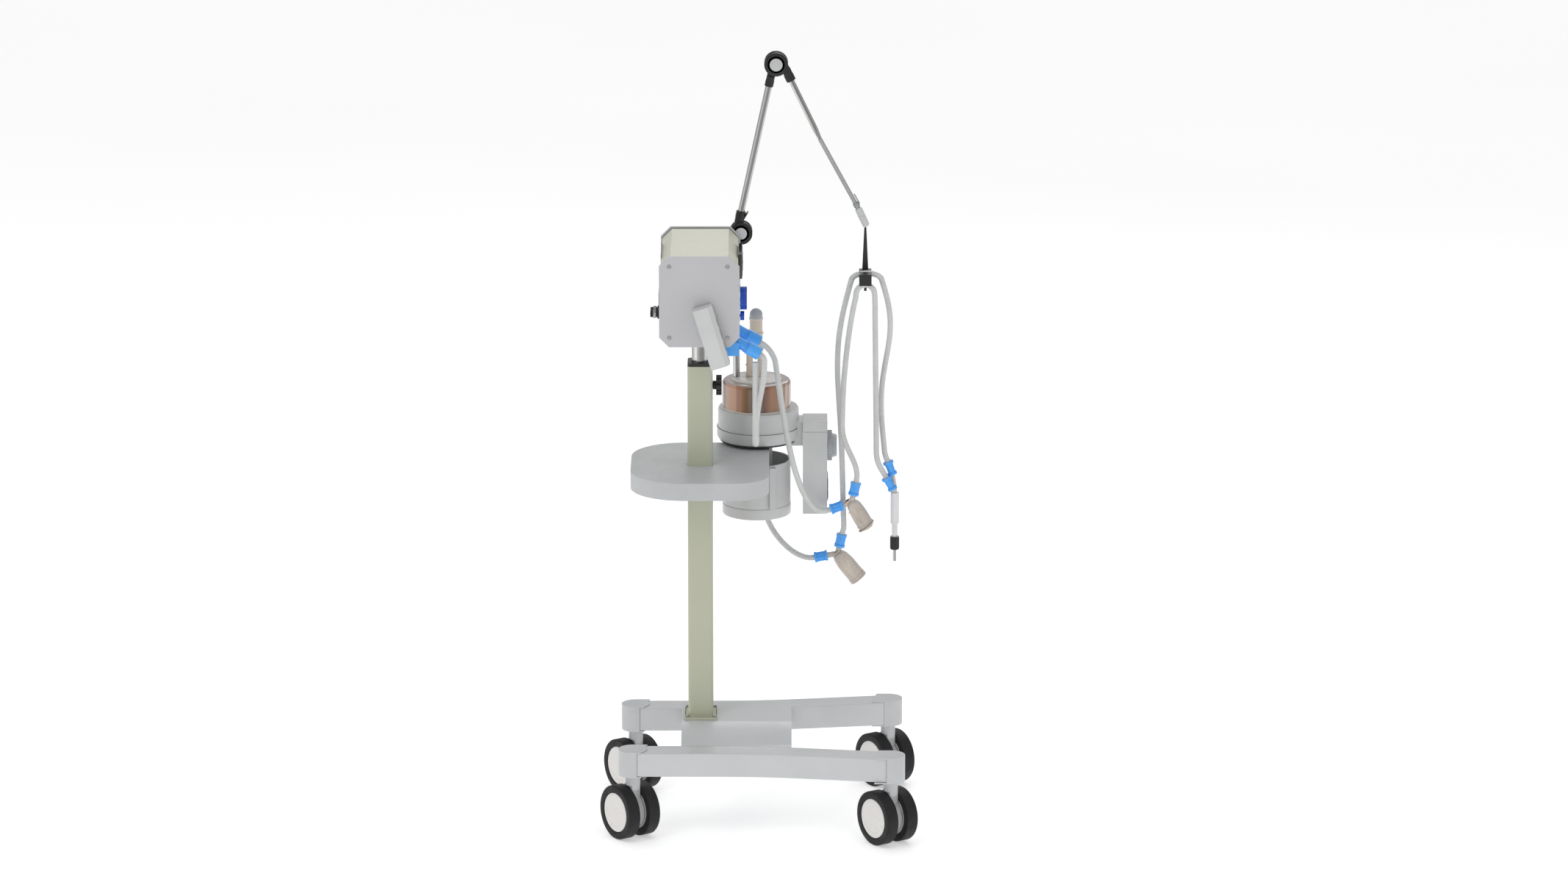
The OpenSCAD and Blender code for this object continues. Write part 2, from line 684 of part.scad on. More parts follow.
module arm_lower() color([0.14, 0.14, 0.14]) {
  difference() {
    union() {
      ears(low_joint, 26);
      difference() {
        rod(lower_start, lower_end, 10.5, 18, 50);
        disc(low_joint, 26.2, 9.9);
      }
      disc(top_joint, 25, tongue_t);
      rod(lower_end, lower_start, 9.4, 20, 53);
    }
    disc(top_joint, joint_pin_r + run_gap, 60);
    // room for the upper arm's ears on both sides of the tongue
    difference() {
      disc(top_joint, 31.5, 60);
      disc(top_joint, 80, tongue_t);
    }
  }
  joint_pin(low_joint, 13.5);
  // small tab beside the lower tube
  in_arm(low_joint + [4, 28], 30) translate([-1.5, -5, 0]) cube([3, 10, 24]);
  rod(lower_start, lower_end, 7.5, 46, lower_l - 48);
}

module arm_upper() color([0.14, 0.14, 0.14]) {
  difference() {
    union() {
      ears(top_joint, 27);
      rod(upper_start, goose_start, 10.5, 8, 43);
    }
    disc(top_joint, 32, 10.4);
  }
  joint_pin(top_joint, 14.7);
  rod(upper_start, goose_start, 6.5, 38, upper_l - 25);
  in_arm(goose_start, tilt(upper_start, goose_start))
    translate([0, 0, -27]) cylinder(r1 = 6.4, r2 = 4, h = 27, $fn = 48);
}

module gooseneck() color([0.7, 0.71, 0.72])
  rod(goose_start, goose_end, 4.6, 0.4, norm(goose_end - goose_start) - 3.5);

module hose_clamp() color([0.66, 0.665, 0.67]) {
  difference() {
    in_arm(goose_end, tilt(goose_end, end_joint)) translate([0, 0, -1.9])
      rotate_extrude($fn = 48)
        polygon([[0, 0], [6, 0], [8.5, 3], [8.5, 44], [6, 47], [0, 47]]);
    disc(end_joint, 14, 6.4);
  }
  disc(end_joint, end_pin_r, 14);
  translate([goose_end[0] + 9, arm_y - 8, goose_end[1] - 19]) rotate([90, 0, 0])
    cylinder(r = 3.6, h = 2.4);
}

// planes in which the two limbs pass the hanger
outer_y = 150;
inner_y = 126;

// round-bottomed slot along X, centred at z and open from z0 to z1
module hose_slot(y, z, z0, z1) {
  slot_r = 8.2;
  translate([0, y, z]) rotate([0, 90, 0]) cylinder(r = slot_r, h = 400);
  translate([0, y - slot_r, z0]) cube([400, 2*slot_r, z1 - z0]);
}

module hanger() color([0.12, 0.12, 0.12]) difference() {
  hanger_t = 5.6;
  union() {
    disc(end_joint, 6, hanger_t);
    translate([end_joint[0], arm_y, 0]) hull() {
      translate([0, 0, end_joint[1] - 6]) cube([4.5, hanger_t, 2], center = true);
      translate([0, 0, 1243]) cube([14, 9, 2], center = true);
    }
    translate([end_joint[0] - 14, 114, 1220]) cube([28, 64, 26]);
    translate([end_joint[0] - 3, 136, 1203]) cube([6, 6, 18]);
  }
  disc(end_joint, end_pin_r + run_gap, 30);
  hose_slot(outer_y, 1240, 1240, 1260);
  hose_slot(inner_y, 1222, 1200, 1222);
}

// ---- patient circuit
hose_r = 6.3;
hose_sides = 10;

function unit(v) = v/norm(v);
// direction leaning an angle from straight up, towards +X
function lean(angle) = [sin(angle), 0, cos(angle)];
// direction an angle below level, from +X
function down(angle) = [cos(angle), 0, -sin(angle)];
function back(p) = [for (i = [len(p) - 1:-1:0]) p[i]];
// hanging side: a straight line from a to b, plus waves in X: [bow, sway, ripple]
function hang(a, b, waves, n) = [for (i = [0:n]) let (u = i/n)
  a + (b - a)*u + [waves[0]*sin(180*u) + waves[1]*sin(360*u) + waves[2]*sin(540*u), 0, 0]];
// half-ring over a saddle, without its two end points
function over(centre, half_w, rise, n) = [for (i = [1:n - 1]) let (angle = 180 - 180*i/n)
  centre + [half_w*cos(angle), 0, rise*sin(angle)]];
// cubic curve leaving a along dir_a and reaching b along dir_b, without its first point
function swoop(a, dir_a, lead_a, b, dir_b, lead_b, n) = [for (i = [1:n])
  let (t = i/n, p = a + lead_a*dir_a, q = b - lead_b*dir_b)
    pow(1 - t, 3)*a + 3*t*pow(1 - t, 2)*p + 3*t*t*(1 - t)*q + t*t*t*b];
// bend in the XZ plane from a, turning between two headings below level
function bend(a, from, to, radius, n) = let (centre = a - radius*lean(from))
  [for (i = [0:n]) centre + radius*lean(from + (to - from)*i/n)];

// tube with a ring of points about each point of its path
module hose(path) {
  n = len(path);
  k = hose_sides;
  tangents = [for (i = [0:n - 1]) unit(path[min(n - 1, i + 1)] - path[max(0, i - 1)])];
  points = [for (i = [0:n - 1])
    let (
      t = tangents[i],
      u = unit(cross(t, abs(t[1]) > 0.9 ? [1, 0, 0] : [0, 1, 0])),
      v = cross(t, u))
    for (j = [0:k - 1]) path[i] + hose_r*(cos(j*360/k)*u + sin(j*360/k)*v)];
  walls = [for (i = [0:n - 2]) for (j = [0:k - 1]) for (half = [0, 1])
    let (a = i*k + j, b = i*k + (j + 1)%k)
      half == 0 ? [a, a + k, b] : [b, a + k, b + k]];
  ends = [[for (j = [0:k - 1]) j], [for (j = [k - 1:-1:0]) (n - 1)*k + j]];
  polyhedron(points, concat(walls, ends));
}

// the two traps: where their necks meet, and how far each neck leans
trap_1 = [206, 122, 709];
trap_2 = [174.5, outer_y, 578.5];
lean_1_limb = 12.3;
lean_1_supply = 69.6;
lean_2_limb = 11.5;
lean_2_supply = 80;
// connector centres on the necks
con_1_limb = trap_1 + 32*lean(lean_1_limb);
con_1_supply = trap_1 - 36*lean(lean_1_supply);
con_2_limb = trap_2 + 32*lean(lean_2_limb);
con_2_supply = trap_2 - 39*lean(lean_2_supply);
// the two connectors of the wye at the patient end
con_outer = [294.5, outer_y, 782];
con_inner = [293, 138, 748.5];
lean_outer = -20;
lean_inner = -29;

// second trap, over the hanger, to the wye
module limb_outer() color([0.8, 0.81, 0.81]) {
  lead = 36;                  // from the connector's centre to the hanging part
  hose(concat(
    [con_2_limb + 16.5*lean(lean_2_limb)],
    [con_2_limb + lead*lean(lean_2_limb) - [0, 0, 6]],
    back(hang([204, outer_y, 1224], con_2_limb + lead*lean(lean_2_limb), [-21, -8.5, -2], 22)),
    over([239, outer_y, 1223.5], 35, 18, 8),
    hang([274, outer_y, 1224], con_outer + lead*lean(lean_outer), [5, 12, 2.5], 16),
    [con_outer + 17.5*lean(lean_outer)]));
}

// first trap, over the hanger, to the wye
module limb_inner() color([0.8, 0.81, 0.81]) {
  start = con_1_limb + 17*lean(lean_1_limb);
  finish = con_inner + 17.5*lean(lean_inner);
  low_rising = [184, 125, 885];
  low_falling = [262, 128, 832];
  hose(concat(
    [start],
    swoop(start, lean(lean_1_limb), 46, low_rising, [0, 0, 1], 50, 8),
    swoop(low_rising, [0, 0, 1], 130, [214, inner_y, 1190], lean(13), 60, 12),
    over([236, inner_y, 1193], 22, 27, 8),
    swoop([258, inner_y, 1193], down(90), 60, low_falling, down(90), 60, 14),
    swoop(low_falling, down(90), 34, finish, -lean(lean_inner), 26, 7)));
}

module supply_hoses() color([0.8, 0.81, 0.81]) {
  // right-hand head port to the first trap
  bend_1 = bend(port_tips[1], port_dip, 78, 72, 6);
  hose(concat(bend_1, swoop(bend_1[6], down(82), 180,
    con_1_supply - 16.5*lean(lean_1_supply), lean(lean_1_supply), 80, 22)));
  // left-hand port to the drop tube beside the column
  bend_2 = bend(port_tips[0], port_dip, 88, 20, 4);
  hose(concat(bend_2, swoop(bend_2[4], down(90), 60, [-13, -98, 946], down(90), 40, 12)));
  translate([-13, -98, 905]) cylinder(r = 7, h = 190);
  translate([-13, -98, 905]) sphere(r = 7);
  // cup ring to the second trap
  ring_x = humid_x + ring_hole_x;
  hose(concat([[ring_x, humid_y, 674]], swoop([ring_x, humid_y, 672], down(90), 45,
    con_2_supply - 16.5*lean(lean_2_supply), lean(lean_2_supply), 50, 16)));
}

// sleeve with a collar at each end
module connector(centre, angle, length = 30, low_r = 9.6) {
  top_r = 9.6;
  collar = 2.8;
  collar_h = 5;
  translate(centre) rotate([0, angle, 0]) difference() {
    union() {
      translate([0, 0, -length/2]) cylinder(r1 = low_r, r2 = top_r, h = length, $fn = 48);
      translate([0, 0, -length/2]) cylinder(r = low_r + collar, h = collar_h, $fn = 48);
      translate([0, 0, length/2 - collar_h])
        cylinder(r = top_r + collar, h = collar_h, $fn = 48);
    }
    translate([0, 0, -length/2 - 1]) cylinder(r = 7.2, h = length + 2, $fn = 48);
  }
}

module connectors() color([0.24, 0.61, 0.96]) {
  connector(con_1_limb, lean_1_limb);
  connector(con_1_supply, lean_1_supply);
  connector(con_2_limb, lean_2_limb);
  connector(con_2_supply, lean_2_supply);
  connector(con_outer, lean_outer, length = 32, low_r = 8.6);
  connector(con_inner, lean_inner, length = 32, low_r = 8.6);
}

// a trap hangs from its neck junction, leaning an angle off straight down
module trap(place, angle, length, radius, rounded)
  translate(place) rotate([0, 180 - angle, 0]) difference() {
    // [radius, distance from the junction]: shoulder, then a rounded or flat end
    rotate_extrude($fn = 64) polygon(concat(
      [[0, -2], [radius*0.45, -2], [radius*0.72, 3], [radius*0.86, 10],
       [radius*0.95, 22], [radius, 34]],
      rounded
        ? [[radius, length - 12], [radius*0.93, length - 6], [radius*0.75, length - 1.5],
           [radius*0.5, length], [0, length + 1]]
        : [[radius, length], [0, length]]));
    translate([0, 0, 20]) cylinder(r = radius - 5, h = length - 26, $fn = 64);
    translate([0, 0, -5]) cylinder(r = 4, h = 30, $fn = 32);
  }

module neck(place, angle, begin, end) translate(place) rotate([0, angle, 0])
  translate([0, 0, begin]) cylinder(r = 6.6, h = end - begin, $fn = 48);

module water_traps() color([0.78, 0.74, 0.69]) {
  trap(trap_1, 30.5, length = 73, radius = 19, rounded = true);
  neck(trap_1, lean_1_limb, -6, 19);
  neck(trap_1, lean_1_supply - 180, -4, 23);
  trap(trap_2, 39, length = 77, radius = 20.5, rounded = false);
  neck(trap_2, lean_2_limb, -6, 19);
  neck(trap_2, lean_2_supply - 180, -4, 26);
}

// stacked cylinders: [bottom, radius, height, facets]
patient_stack = [[654, 9.7, 73, 48], [620, 6.6, 36, 48], [592, 9.9, 31, 48], [564, 3.8, 32, 32]];

module patient_end() color([0.85, 0.85, 0.86]) for (part = patient_stack)
  translate([305, 140, part[0]]) cylinder(r = part[1], h = part[2], $fn = part[3]);

legs();
end_caps();
cross_beam();
foot_plate();
foot_bolts();
pole();
pole_collar();
tray();
humidifier_bracket();
fork_front_left();
tyres_front_left();
hubs_front_left();
fork_front_right();
tyres_front_right();
hubs_front_right();
fork_rear_left();
tyres_rear_left();
hubs_rear_left();
fork_rear_right();
tyres_rear_right();
hubs_rear_right();
lock_knob();
mast();
head_frame();
side_plates();
shell();
plate_screws();
front_panel();
display();
rear_panel();
control_board();
valve_block();
power_supply();
port_block();
flow_knob();
pressure_knob();
side_bracket();
heater_base();
heater_plate();
chamber();
chamber_lid();
chamber_tower();
probe_rod();
cup();
cup_ring();
control_box();
box_display();
heat_knob();
arm_post();
arm_lower();
arm_upper();
gooseneck();
hose_clamp();
hanger();
limb_outer();
limb_inner();
supply_hoses();
connectors();
water_traps();
patient_end();
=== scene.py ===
import bpy, bmesh, math, json, random
from mathutils import Vector, Matrix, Quaternion

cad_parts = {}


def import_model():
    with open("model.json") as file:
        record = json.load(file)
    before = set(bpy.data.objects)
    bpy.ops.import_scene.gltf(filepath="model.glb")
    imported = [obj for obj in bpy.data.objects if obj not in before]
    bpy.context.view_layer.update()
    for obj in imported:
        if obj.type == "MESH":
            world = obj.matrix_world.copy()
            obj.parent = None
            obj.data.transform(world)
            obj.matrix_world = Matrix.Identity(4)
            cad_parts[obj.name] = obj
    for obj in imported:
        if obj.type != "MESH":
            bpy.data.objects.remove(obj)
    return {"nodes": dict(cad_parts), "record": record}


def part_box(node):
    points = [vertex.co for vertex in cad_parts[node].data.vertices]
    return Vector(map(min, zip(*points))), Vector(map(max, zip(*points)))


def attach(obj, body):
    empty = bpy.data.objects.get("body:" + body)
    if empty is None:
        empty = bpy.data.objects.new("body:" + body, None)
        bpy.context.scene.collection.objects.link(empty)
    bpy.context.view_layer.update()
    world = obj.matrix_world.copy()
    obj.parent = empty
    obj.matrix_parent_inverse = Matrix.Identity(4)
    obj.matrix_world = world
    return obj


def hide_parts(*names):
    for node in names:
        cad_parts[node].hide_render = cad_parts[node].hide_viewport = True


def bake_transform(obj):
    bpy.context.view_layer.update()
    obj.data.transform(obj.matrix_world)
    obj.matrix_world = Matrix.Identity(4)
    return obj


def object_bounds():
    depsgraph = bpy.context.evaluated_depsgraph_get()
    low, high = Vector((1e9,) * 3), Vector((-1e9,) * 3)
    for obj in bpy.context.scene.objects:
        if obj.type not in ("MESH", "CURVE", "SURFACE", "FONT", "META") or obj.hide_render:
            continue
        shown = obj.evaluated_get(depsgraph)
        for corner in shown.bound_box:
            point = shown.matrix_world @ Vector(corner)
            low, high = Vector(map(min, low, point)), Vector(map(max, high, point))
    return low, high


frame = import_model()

random.seed(7)
CAD = [list(v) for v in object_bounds()]
N = frame["nodes"]
SLOT = {s["node"]: s["material_slot"] for s in frame["record"]["subparts"]}


def cen(node):
    a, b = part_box(node)
    return (Vector(a) + Vector(b)) / 2


def lo(node):
    return Vector(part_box(node)[0])


def hi(node):
    return Vector(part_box(node)[1])


# ------------------------------------------------------------------ places read from the frame
def points(node):
    """The node's corners, each once, and which touch which, as separate solids."""
    me = N[node].data
    key, idx, vs = {}, [], []
    for v in me.vertices:
        k = tuple(round(c, 6) for c in v.co)
        if k not in key:
            key[k] = len(vs); vs.append(Vector(k))
        idx.append(key[k])
    adj = [set() for _ in vs]
    for p in me.polygons:
        q = [idx[i] for i in p.vertices]
        for a, b in zip(q, q[1:] + q[:1]):
            if a != b: adj[a].add(b); adj[b].add(a)
    seen, out = set(), []
    for i in range(len(vs)):
        if i in seen: continue
        comp, todo = [], [i]; seen.add(i)
        while todo:
            a = todo.pop(); comp.append(a)
            for b in adj[a]:
                if b not in seen: seen.add(b); todo.append(b)
        out.append(comp)
    return vs, adj, out


def ring_line(vs, adj, comp, k=10):
    """Centre line of a swept hose solid whose corners lie in flat rings of k, from whichever end closes with a plain ring."""
    def far(a):
        dist, todo = {a: 0}, [a]
        for x in todo:
            for y in adj[x]:
                if y not in dist: dist[y] = dist[x] + 1; todo.append(y)
        return todo[-1]

    def end_ring(a):
        near = sorted(comp, key=lambda i: (vs[i] - vs[a]).length)[:7 * k]
        best, err = None, 1e9
        for x in range(1, len(near)):
            for y in range(x + 1, len(near)):
                nrm = (vs[near[x]] - vs[a]).cross(vs[near[y]] - vs[a])
                if nrm.length < 1e-8: continue
                nrm.normalize()
                flat = [q for q in near if abs((vs[q] - vs[a]).dot(nrm)) < 6e-5]
                if len(flat) != k: continue
                c = sum((vs[q] for q in flat), Vector()) / k
                rr = [(vs[q] - c).length for q in flat]
                nxt = set(b for q in flat for b in adj[q]) - set(flat)
                if len(nxt) == k and max(rr) - min(rr) < min(err, 3e-4): best, err = flat, max(rr) - min(rr)
        return best

    def walk(best):
        ring, seen, line = set(best), set(best), []
        while len(ring) == k:
            line.append(sum((vs[q] for q in ring), Vector()) / k)
            nxt = set(b for q in ring for b in adj[q]) - seen
            seen |= nxt; ring = nxt
        return line

    a = far(comp[0]); lines = []
    for end in (a, far(a)):
        best = end_ring(end)
        if best: lines.append(walk(best))
    return max(lines, key=len) if lines else []


def long_axis(vs, comp, unit_len=True):
    """Centre of a solid and the direction it is longest in."""
    c = sum((vs[i] for i in comp), Vector()) / len(comp)
    m = [[0.0] * 3 for _ in range(3)]
    for i in comp:
        d = vs[i] - c
        for a in range(3):
            for b in range(3): m[a][b] += d[a] * d[b]
    M3 = Matrix(m); v = Vector((0.3, 0.2, 1))
    for _ in range(60): v = (M3 @ v).normalized()
    t = [(vs[i] - c).dot(v) for i in comp]
    return c + v * ((max(t) + min(t)) / 2), v, max(t) - min(t)


def joint_at(name):
    for j in frame["record"]["behaviour"]["joints"]:
        if j["name"] == name: return Vector(j["pos_m"])


# ------------------------------------------------------------------ materials
class Tree:
    def __init__(self, name):
        self.m = bpy.data.materials.new(name)
        self.m.use_nodes = True
        self.t = self.m.node_tree
        self.t.nodes.clear()
        self.out = self.t.nodes.new("ShaderNodeOutputMaterial")
        self.p = self.t.nodes.new("ShaderNodeBsdfPrincipled")
        self.t.links.new(self.p.outputs[0], self.out.inputs[0])
        self.tc = self.t.nodes.new("ShaderNodeTexCoord")

    def n(self, kind, **kw):
        x = self.t.nodes.new(kind)
        for k, v in kw.items():
            if hasattr(x, k):
                setattr(x, k, v)
            else:
                x.inputs[k.replace("_", " ")].default_value = v
        return x

    def l(self, a, b):
        self.t.links.new(a, b)

    def noise(self, scale, detail=3, stretch=None):
        x = self.n("ShaderNodeTexNoise")
        x.inputs["Scale"].default_value = scale
        x.inputs["Detail"].default_value = detail
        if stretch:
            mp = self.n("ShaderNodeMapping")
            mp.inputs["Scale"].default_value = stretch
            self.l(self.tc.outputs["Object"], mp.inputs[0])
            self.l(mp.outputs[0], x.inputs["Vector"])
        else:
            self.l(self.tc.outputs["Object"], x.inputs["Vector"])
        return x.outputs["Fac"]

    def rng(self, fac, a, b):
        x = self.n("ShaderNodeMapRange")
        x.inputs["From Min"].default_value = 0.3
        x.inputs["From Max"].default_value = 0.7
        x.inputs["To Min"].default_value = a
        x.inputs["To Max"].default_value = b
        self.l(fac, x.inputs["Value"])
        return x.outputs[0]

    def mix(self, fac, a, b):
        x = self.n("ShaderNodeMix", data_type="RGBA")
        if isinstance(fac, (int, float)):
            x.inputs[0].default_value = fac
        else:
            self.l(fac, x.inputs[0])
        for i, c in ((6, a), (7, b)):
            if isinstance(c, (tuple, list)):
                x.inputs[i].default_value = (*c[:3], 1)
            else:
                self.l(c, x.inputs[i])
        return x.outputs[2]

    def mixf(self, fac, a, b):
        x = self.n("ShaderNodeMix", data_type="FLOAT")
        self.l(fac, x.inputs[0])
        for i, c in ((2, a), (3, b)):
            if isinstance(c, (int, float)):
                x.inputs[i].default_value = c
            else:
                self.l(c, x.inputs[i])
        return x.outputs[0]

    def math(self, op, a, b=0.0):
        x = self.n("ShaderNodeMath", operation=op)
        for i, c in ((0, a), (1, b)):
            if isinstance(c, (int, float)):
                x.inputs[i].default_value = c
            else:
                self.l(c, x.inputs[i])
        return x.outputs[0]

    def bump(self, height, strength, dist=0.001, prev=None):
        x = self.n("ShaderNodeBump")
        x.inputs["Strength"].default_value = strength
        x.inputs["Distance"].default_value = dist
        self.l(height, x.inputs["Height"])
        if prev is not None:
            self.l(prev, x.inputs["Normal"])
        return x.outputs[0]

    def axis(self, i):
        s = self.n("ShaderNodeSeparateXYZ")
        self.l(self.tc.outputs["Object"], s.inputs[0])
        return s.outputs[i]

    def edges(self):
        g = self.n("ShaderNodeNewGeometry")
        x = self.n("ShaderNodeMapRange")
        x.inputs["From Min"].default_value = 0.52
        x.inputs["From Max"].default_value = 0.62
        self.l(g.outputs["Pointiness"], x.inputs["Value"])
        return x.outputs[0]


def srgb(r, g, b):
    f = lambda v: (v / 255 / 12.92) if v / 255 <= 0.04045 else ((v / 255 + 0.055) / 1.055) ** 2.4
    return (f(r), f(g), f(b))


def shade(c, k):
    return tuple(min(1, v * k) for v in c)


def painted(name, c, rough=0.42, peel=0.06, coat=0.15, wear=0.25):
    """Powder coat: faint orange peel, cloudy gloss, slightly lighter worn edges."""
    t = Tree(name)
    big = t.noise(9, 4)
    base = t.mix(t.rng(big, 0, 1), shade(c, 0.965), shade(c, 1.02))
    e = t.math("MULTIPLY", t.edges(), wear)
    t.l(t.mix(e, base, shade(c, 1.12)), t.p.inputs["Base Color"])
    t.l(t.rng(t.noise(38, 5), rough - 0.05, rough + 0.07), t.p.inputs["Roughness"])
    t.l(t.bump(t.noise(900, 2), peel, 0.0004), t.p.inputs["Normal"])
    t.p.inputs["Coat Weight"].default_value = coat
    t.p.inputs["Coat Roughness"].default_value = 0.25
    return t.m


def moulded(name, c, rough=0.5, grain=0.12, scale=1400, wear=0.2, spec=0.5, coat=0.0):
    """Moulded plastic: fine spark-erosion grain, slight colour drift, rubbed edges."""
    t = Tree(name)
    v = t.n("ShaderNodeTexVoronoi")
    v.inputs["Scale"].default_value = scale
    t.l(t.tc.outputs["Object"], v.inputs["Vector"])
    base = t.mix(t.rng(t.noise(14, 4), 0, 1), shade(c, 0.95), shade(c, 1.03))
    t.l(t.mix(t.math("MULTIPLY", t.edges(), wear), base, shade(c, 1.18)), t.p.inputs["Base Color"])
    t.l(t.rng(t.noise(60, 4), rough - 0.06, rough + 0.08), t.p.inputs["Roughness"])
    b = t.bump(v.outputs["Distance"], grain, 0.0003)
    t.l(t.bump(t.noise(25, 3), 0.03, 0.001, b), t.p.inputs["Normal"])
    t.p.inputs["Specular IOR Level"].default_value = spec
    t.p.inputs["Coat Weight"].default_value = coat
    return t.m


def gloss(name, c, rough=0.22, coat=0.3):
    t = Tree(name)
    base = t.mix(t.rng(t.noise(11, 3), 0, 1), shade(c, 0.97), shade(c, 1.02))
    t.l(t.mix(t.math("MULTIPLY", t.edges(), 0.15), base, shade(c, 1.15)), t.p.inputs["Base Color"])
    t.l(t.rng(t.noise(45, 5), rough - 0.05, rough + 0.08), t.p.inputs["Roughness"])
    t.l(t.bump(t.noise(320, 2), 0.03, 0.0004), t.p.inputs["Normal"])
    t.p.inputs["Coat Weight"].default_value = coat
    t.p.inputs["Coat Roughness"].default_value = 0.08
    return t.m


def metal(name, c, rough=0.12, brush=None, aniso=0.0, smear=0.1):
    t = Tree(name)
    t.p.inputs["Metallic"].default_value = 1
    t.l(t.mix(t.rng(t.noise(20, 4), 0, 1), shade(c, 0.95), c), t.p.inputs["Base Color"])
    f = t.noise(90, 5, brush) if brush else t.noise(30, 4)
    t.l(t.rng(f, rough, rough + smear), t.p.inputs["Roughness"])
    if brush:
        t.l(t.bump(t.noise(260, 2, brush), 0.08, 0.0003), t.p.inputs["Normal"])
    t.p.inputs["Anisotropic"].default_value = aniso
    return t.m


def rubber(name, c):
    t = Tree(name)
    t.l(t.mix(t.rng(t.noise(16, 5), 0, 1), shade(c, 0.85), shade(c, 1.25)), t.p.inputs["Base Color"])
    t.l(t.rng(t.noise(50, 4), 0.48, 0.66), t.p.inputs["Roughness"])
    b = t.bump(t.noise(1500, 2), 0.15, 0.0003)
    t.l(t.bump(t.noise(120, 3), 0.05, 0.0008, b), t.p.inputs["Normal"])
    t.p.inputs["Specular IOR Level"].default_value = 0.35
    return t.m


def clear(name, c, rough=0.2, trans=0.5, ior=1.4, alpha=1.0, streak=0.0):
    t = Tree(name)
    f = t.rng(t.noise(18, 4, (1, 1, 0.25)), 0, 1)
    t.l(t.mix(f, shade(c, 0.85), shade(c, 1.08)), t.p.inputs["Base Color"])
    t.l(t.rng(t.noise(40, 4), rough - 0.06, rough + 0.1), t.p.inputs["Roughness"])
    t.l(t.bump(t.noise(40, 2), 0.02 + streak, 0.0004), t.p.inputs["Normal"])
    t.p.inputs["Transmission Weight"].default_value = trans
    t.p.inputs["IOR"].default_value = ior
    t.p.inputs["Alpha"].default_value = alpha
    t.p.inputs["Coat Weight"].default_value = 0.35
    t.p.inputs["Coat Roughness"].default_value = 0.1
    return t.m


GREY = srgb(196, 198, 201)
M = {
    "painted_grey": painted("painted_grey", srgb(206, 208, 210), 0.36, 0.05, 0.3),
    "painted_sage": painted("painted_sage", srgb(190, 192, 170), 0.34, 0.05, 0.3),
    "cap_plastic": moulded("cap_plastic", srgb(202, 204, 206), 0.42),
    "fork_plastic": moulded("fork_plastic", srgb(208, 209, 210), 0.42),
    "joint_disc": moulded("joint_disc", srgb(196, 197, 198), 0.4, 0.05),
    "tyre": rubber("tyre", srgb(26, 26, 28)),
    "hub": gloss("hub", srgb(232, 229, 226), 0.3, 0.25),
    "steel": metal("steel", srgb(170, 172, 174), 0.3, (1, 1, 12)),
    "chrome": metal("chrome", srgb(206, 208, 210), 0.12, None, 0.0, 0.08),
    "black_plastic": moulded("black_plastic", srgb(24, 24, 25), 0.38, 0.1),
    "tray_plastic": moulded("tray_plastic", srgb(192, 194, 196), 0.4, 0.08, 1800),
    "shell_cream": painted("shell_cream", srgb(220, 220, 202), 0.4, 0.06, 0.15),
    "plate_grey": painted("plate_grey", srgb(192, 192, 195), 0.42, 0.05, 0.1),
    "display_black": gloss("display_black", srgb(26, 34, 30), 0.1, 0.6),
    "membrane": gloss("membrane", srgb(120, 196, 214), 0.3, 0.2),
    "blue_plastic": gloss("blue_plastic", srgb(38, 84, 200), 0.28, 0.3),
    "sky_plastic": gloss("sky_plastic", srgb(78, 172, 255), 0.32, 0.25),
    "board": gloss("board", srgb(28, 92, 56), 0.4, 0.2),
    "alloy": metal("alloy", srgb(178, 180, 184), 0.28, (8, 1, 1)),
    "heater_plastic": moulded("heater_plastic", srgb(206, 207, 207), 0.34, 0.05, 1600, coat=0.15),
    "lid_pale": gloss("lid_pale", srgb(226, 222, 217), 0.25, 0.3),
    "knob_grey": moulded("knob_grey", srgb(182, 186, 190), 0.42),
    "display_blue": gloss("display_blue", srgb(34, 50, 84), 0.1, 0.6),
    "trap": clear("trap", srgb(214, 203, 192), 0.26, 0.12),
    # dark material for real gaskets and seams, also used as painted shade for the rear vent strips and the ring under
    # the heater base
    "dark_seam_and_shade": moulded("dark_seam_and_shade", srgb(58, 60, 64), 0.6),
    "white_ink": moulded("white_ink", srgb(236, 238, 240), 0.5, 0.03),
    "clear_rib": clear("clear_rib", srgb(232, 220, 204), 0.2, 0.1),
}


def hose_mat():
    t = Tree("hose")
    c = srgb(212, 213, 212)
    t.l(t.mix(t.rng(t.noise(22, 4), 0, 1), shade(c, 0.95), shade(c, 1.04)), t.p.inputs["Base Color"])
    t.l(t.rng(t.noise(60, 3), 0.3, 0.45), t.p.inputs["Roughness"])
    t.l(t.bump(t.noise(500, 2), 0.05, 0.0003), t.p.inputs["Normal"])
    t.p.inputs["Subsurface Weight"].default_value = 0.15
    t.p.inputs["Subsurface Radius"].default_value = (0.004, 0.004, 0.004)
    t.p.inputs["Coat Weight"].default_value = 0.15
    return t.m


M["hose"] = hose_mat()


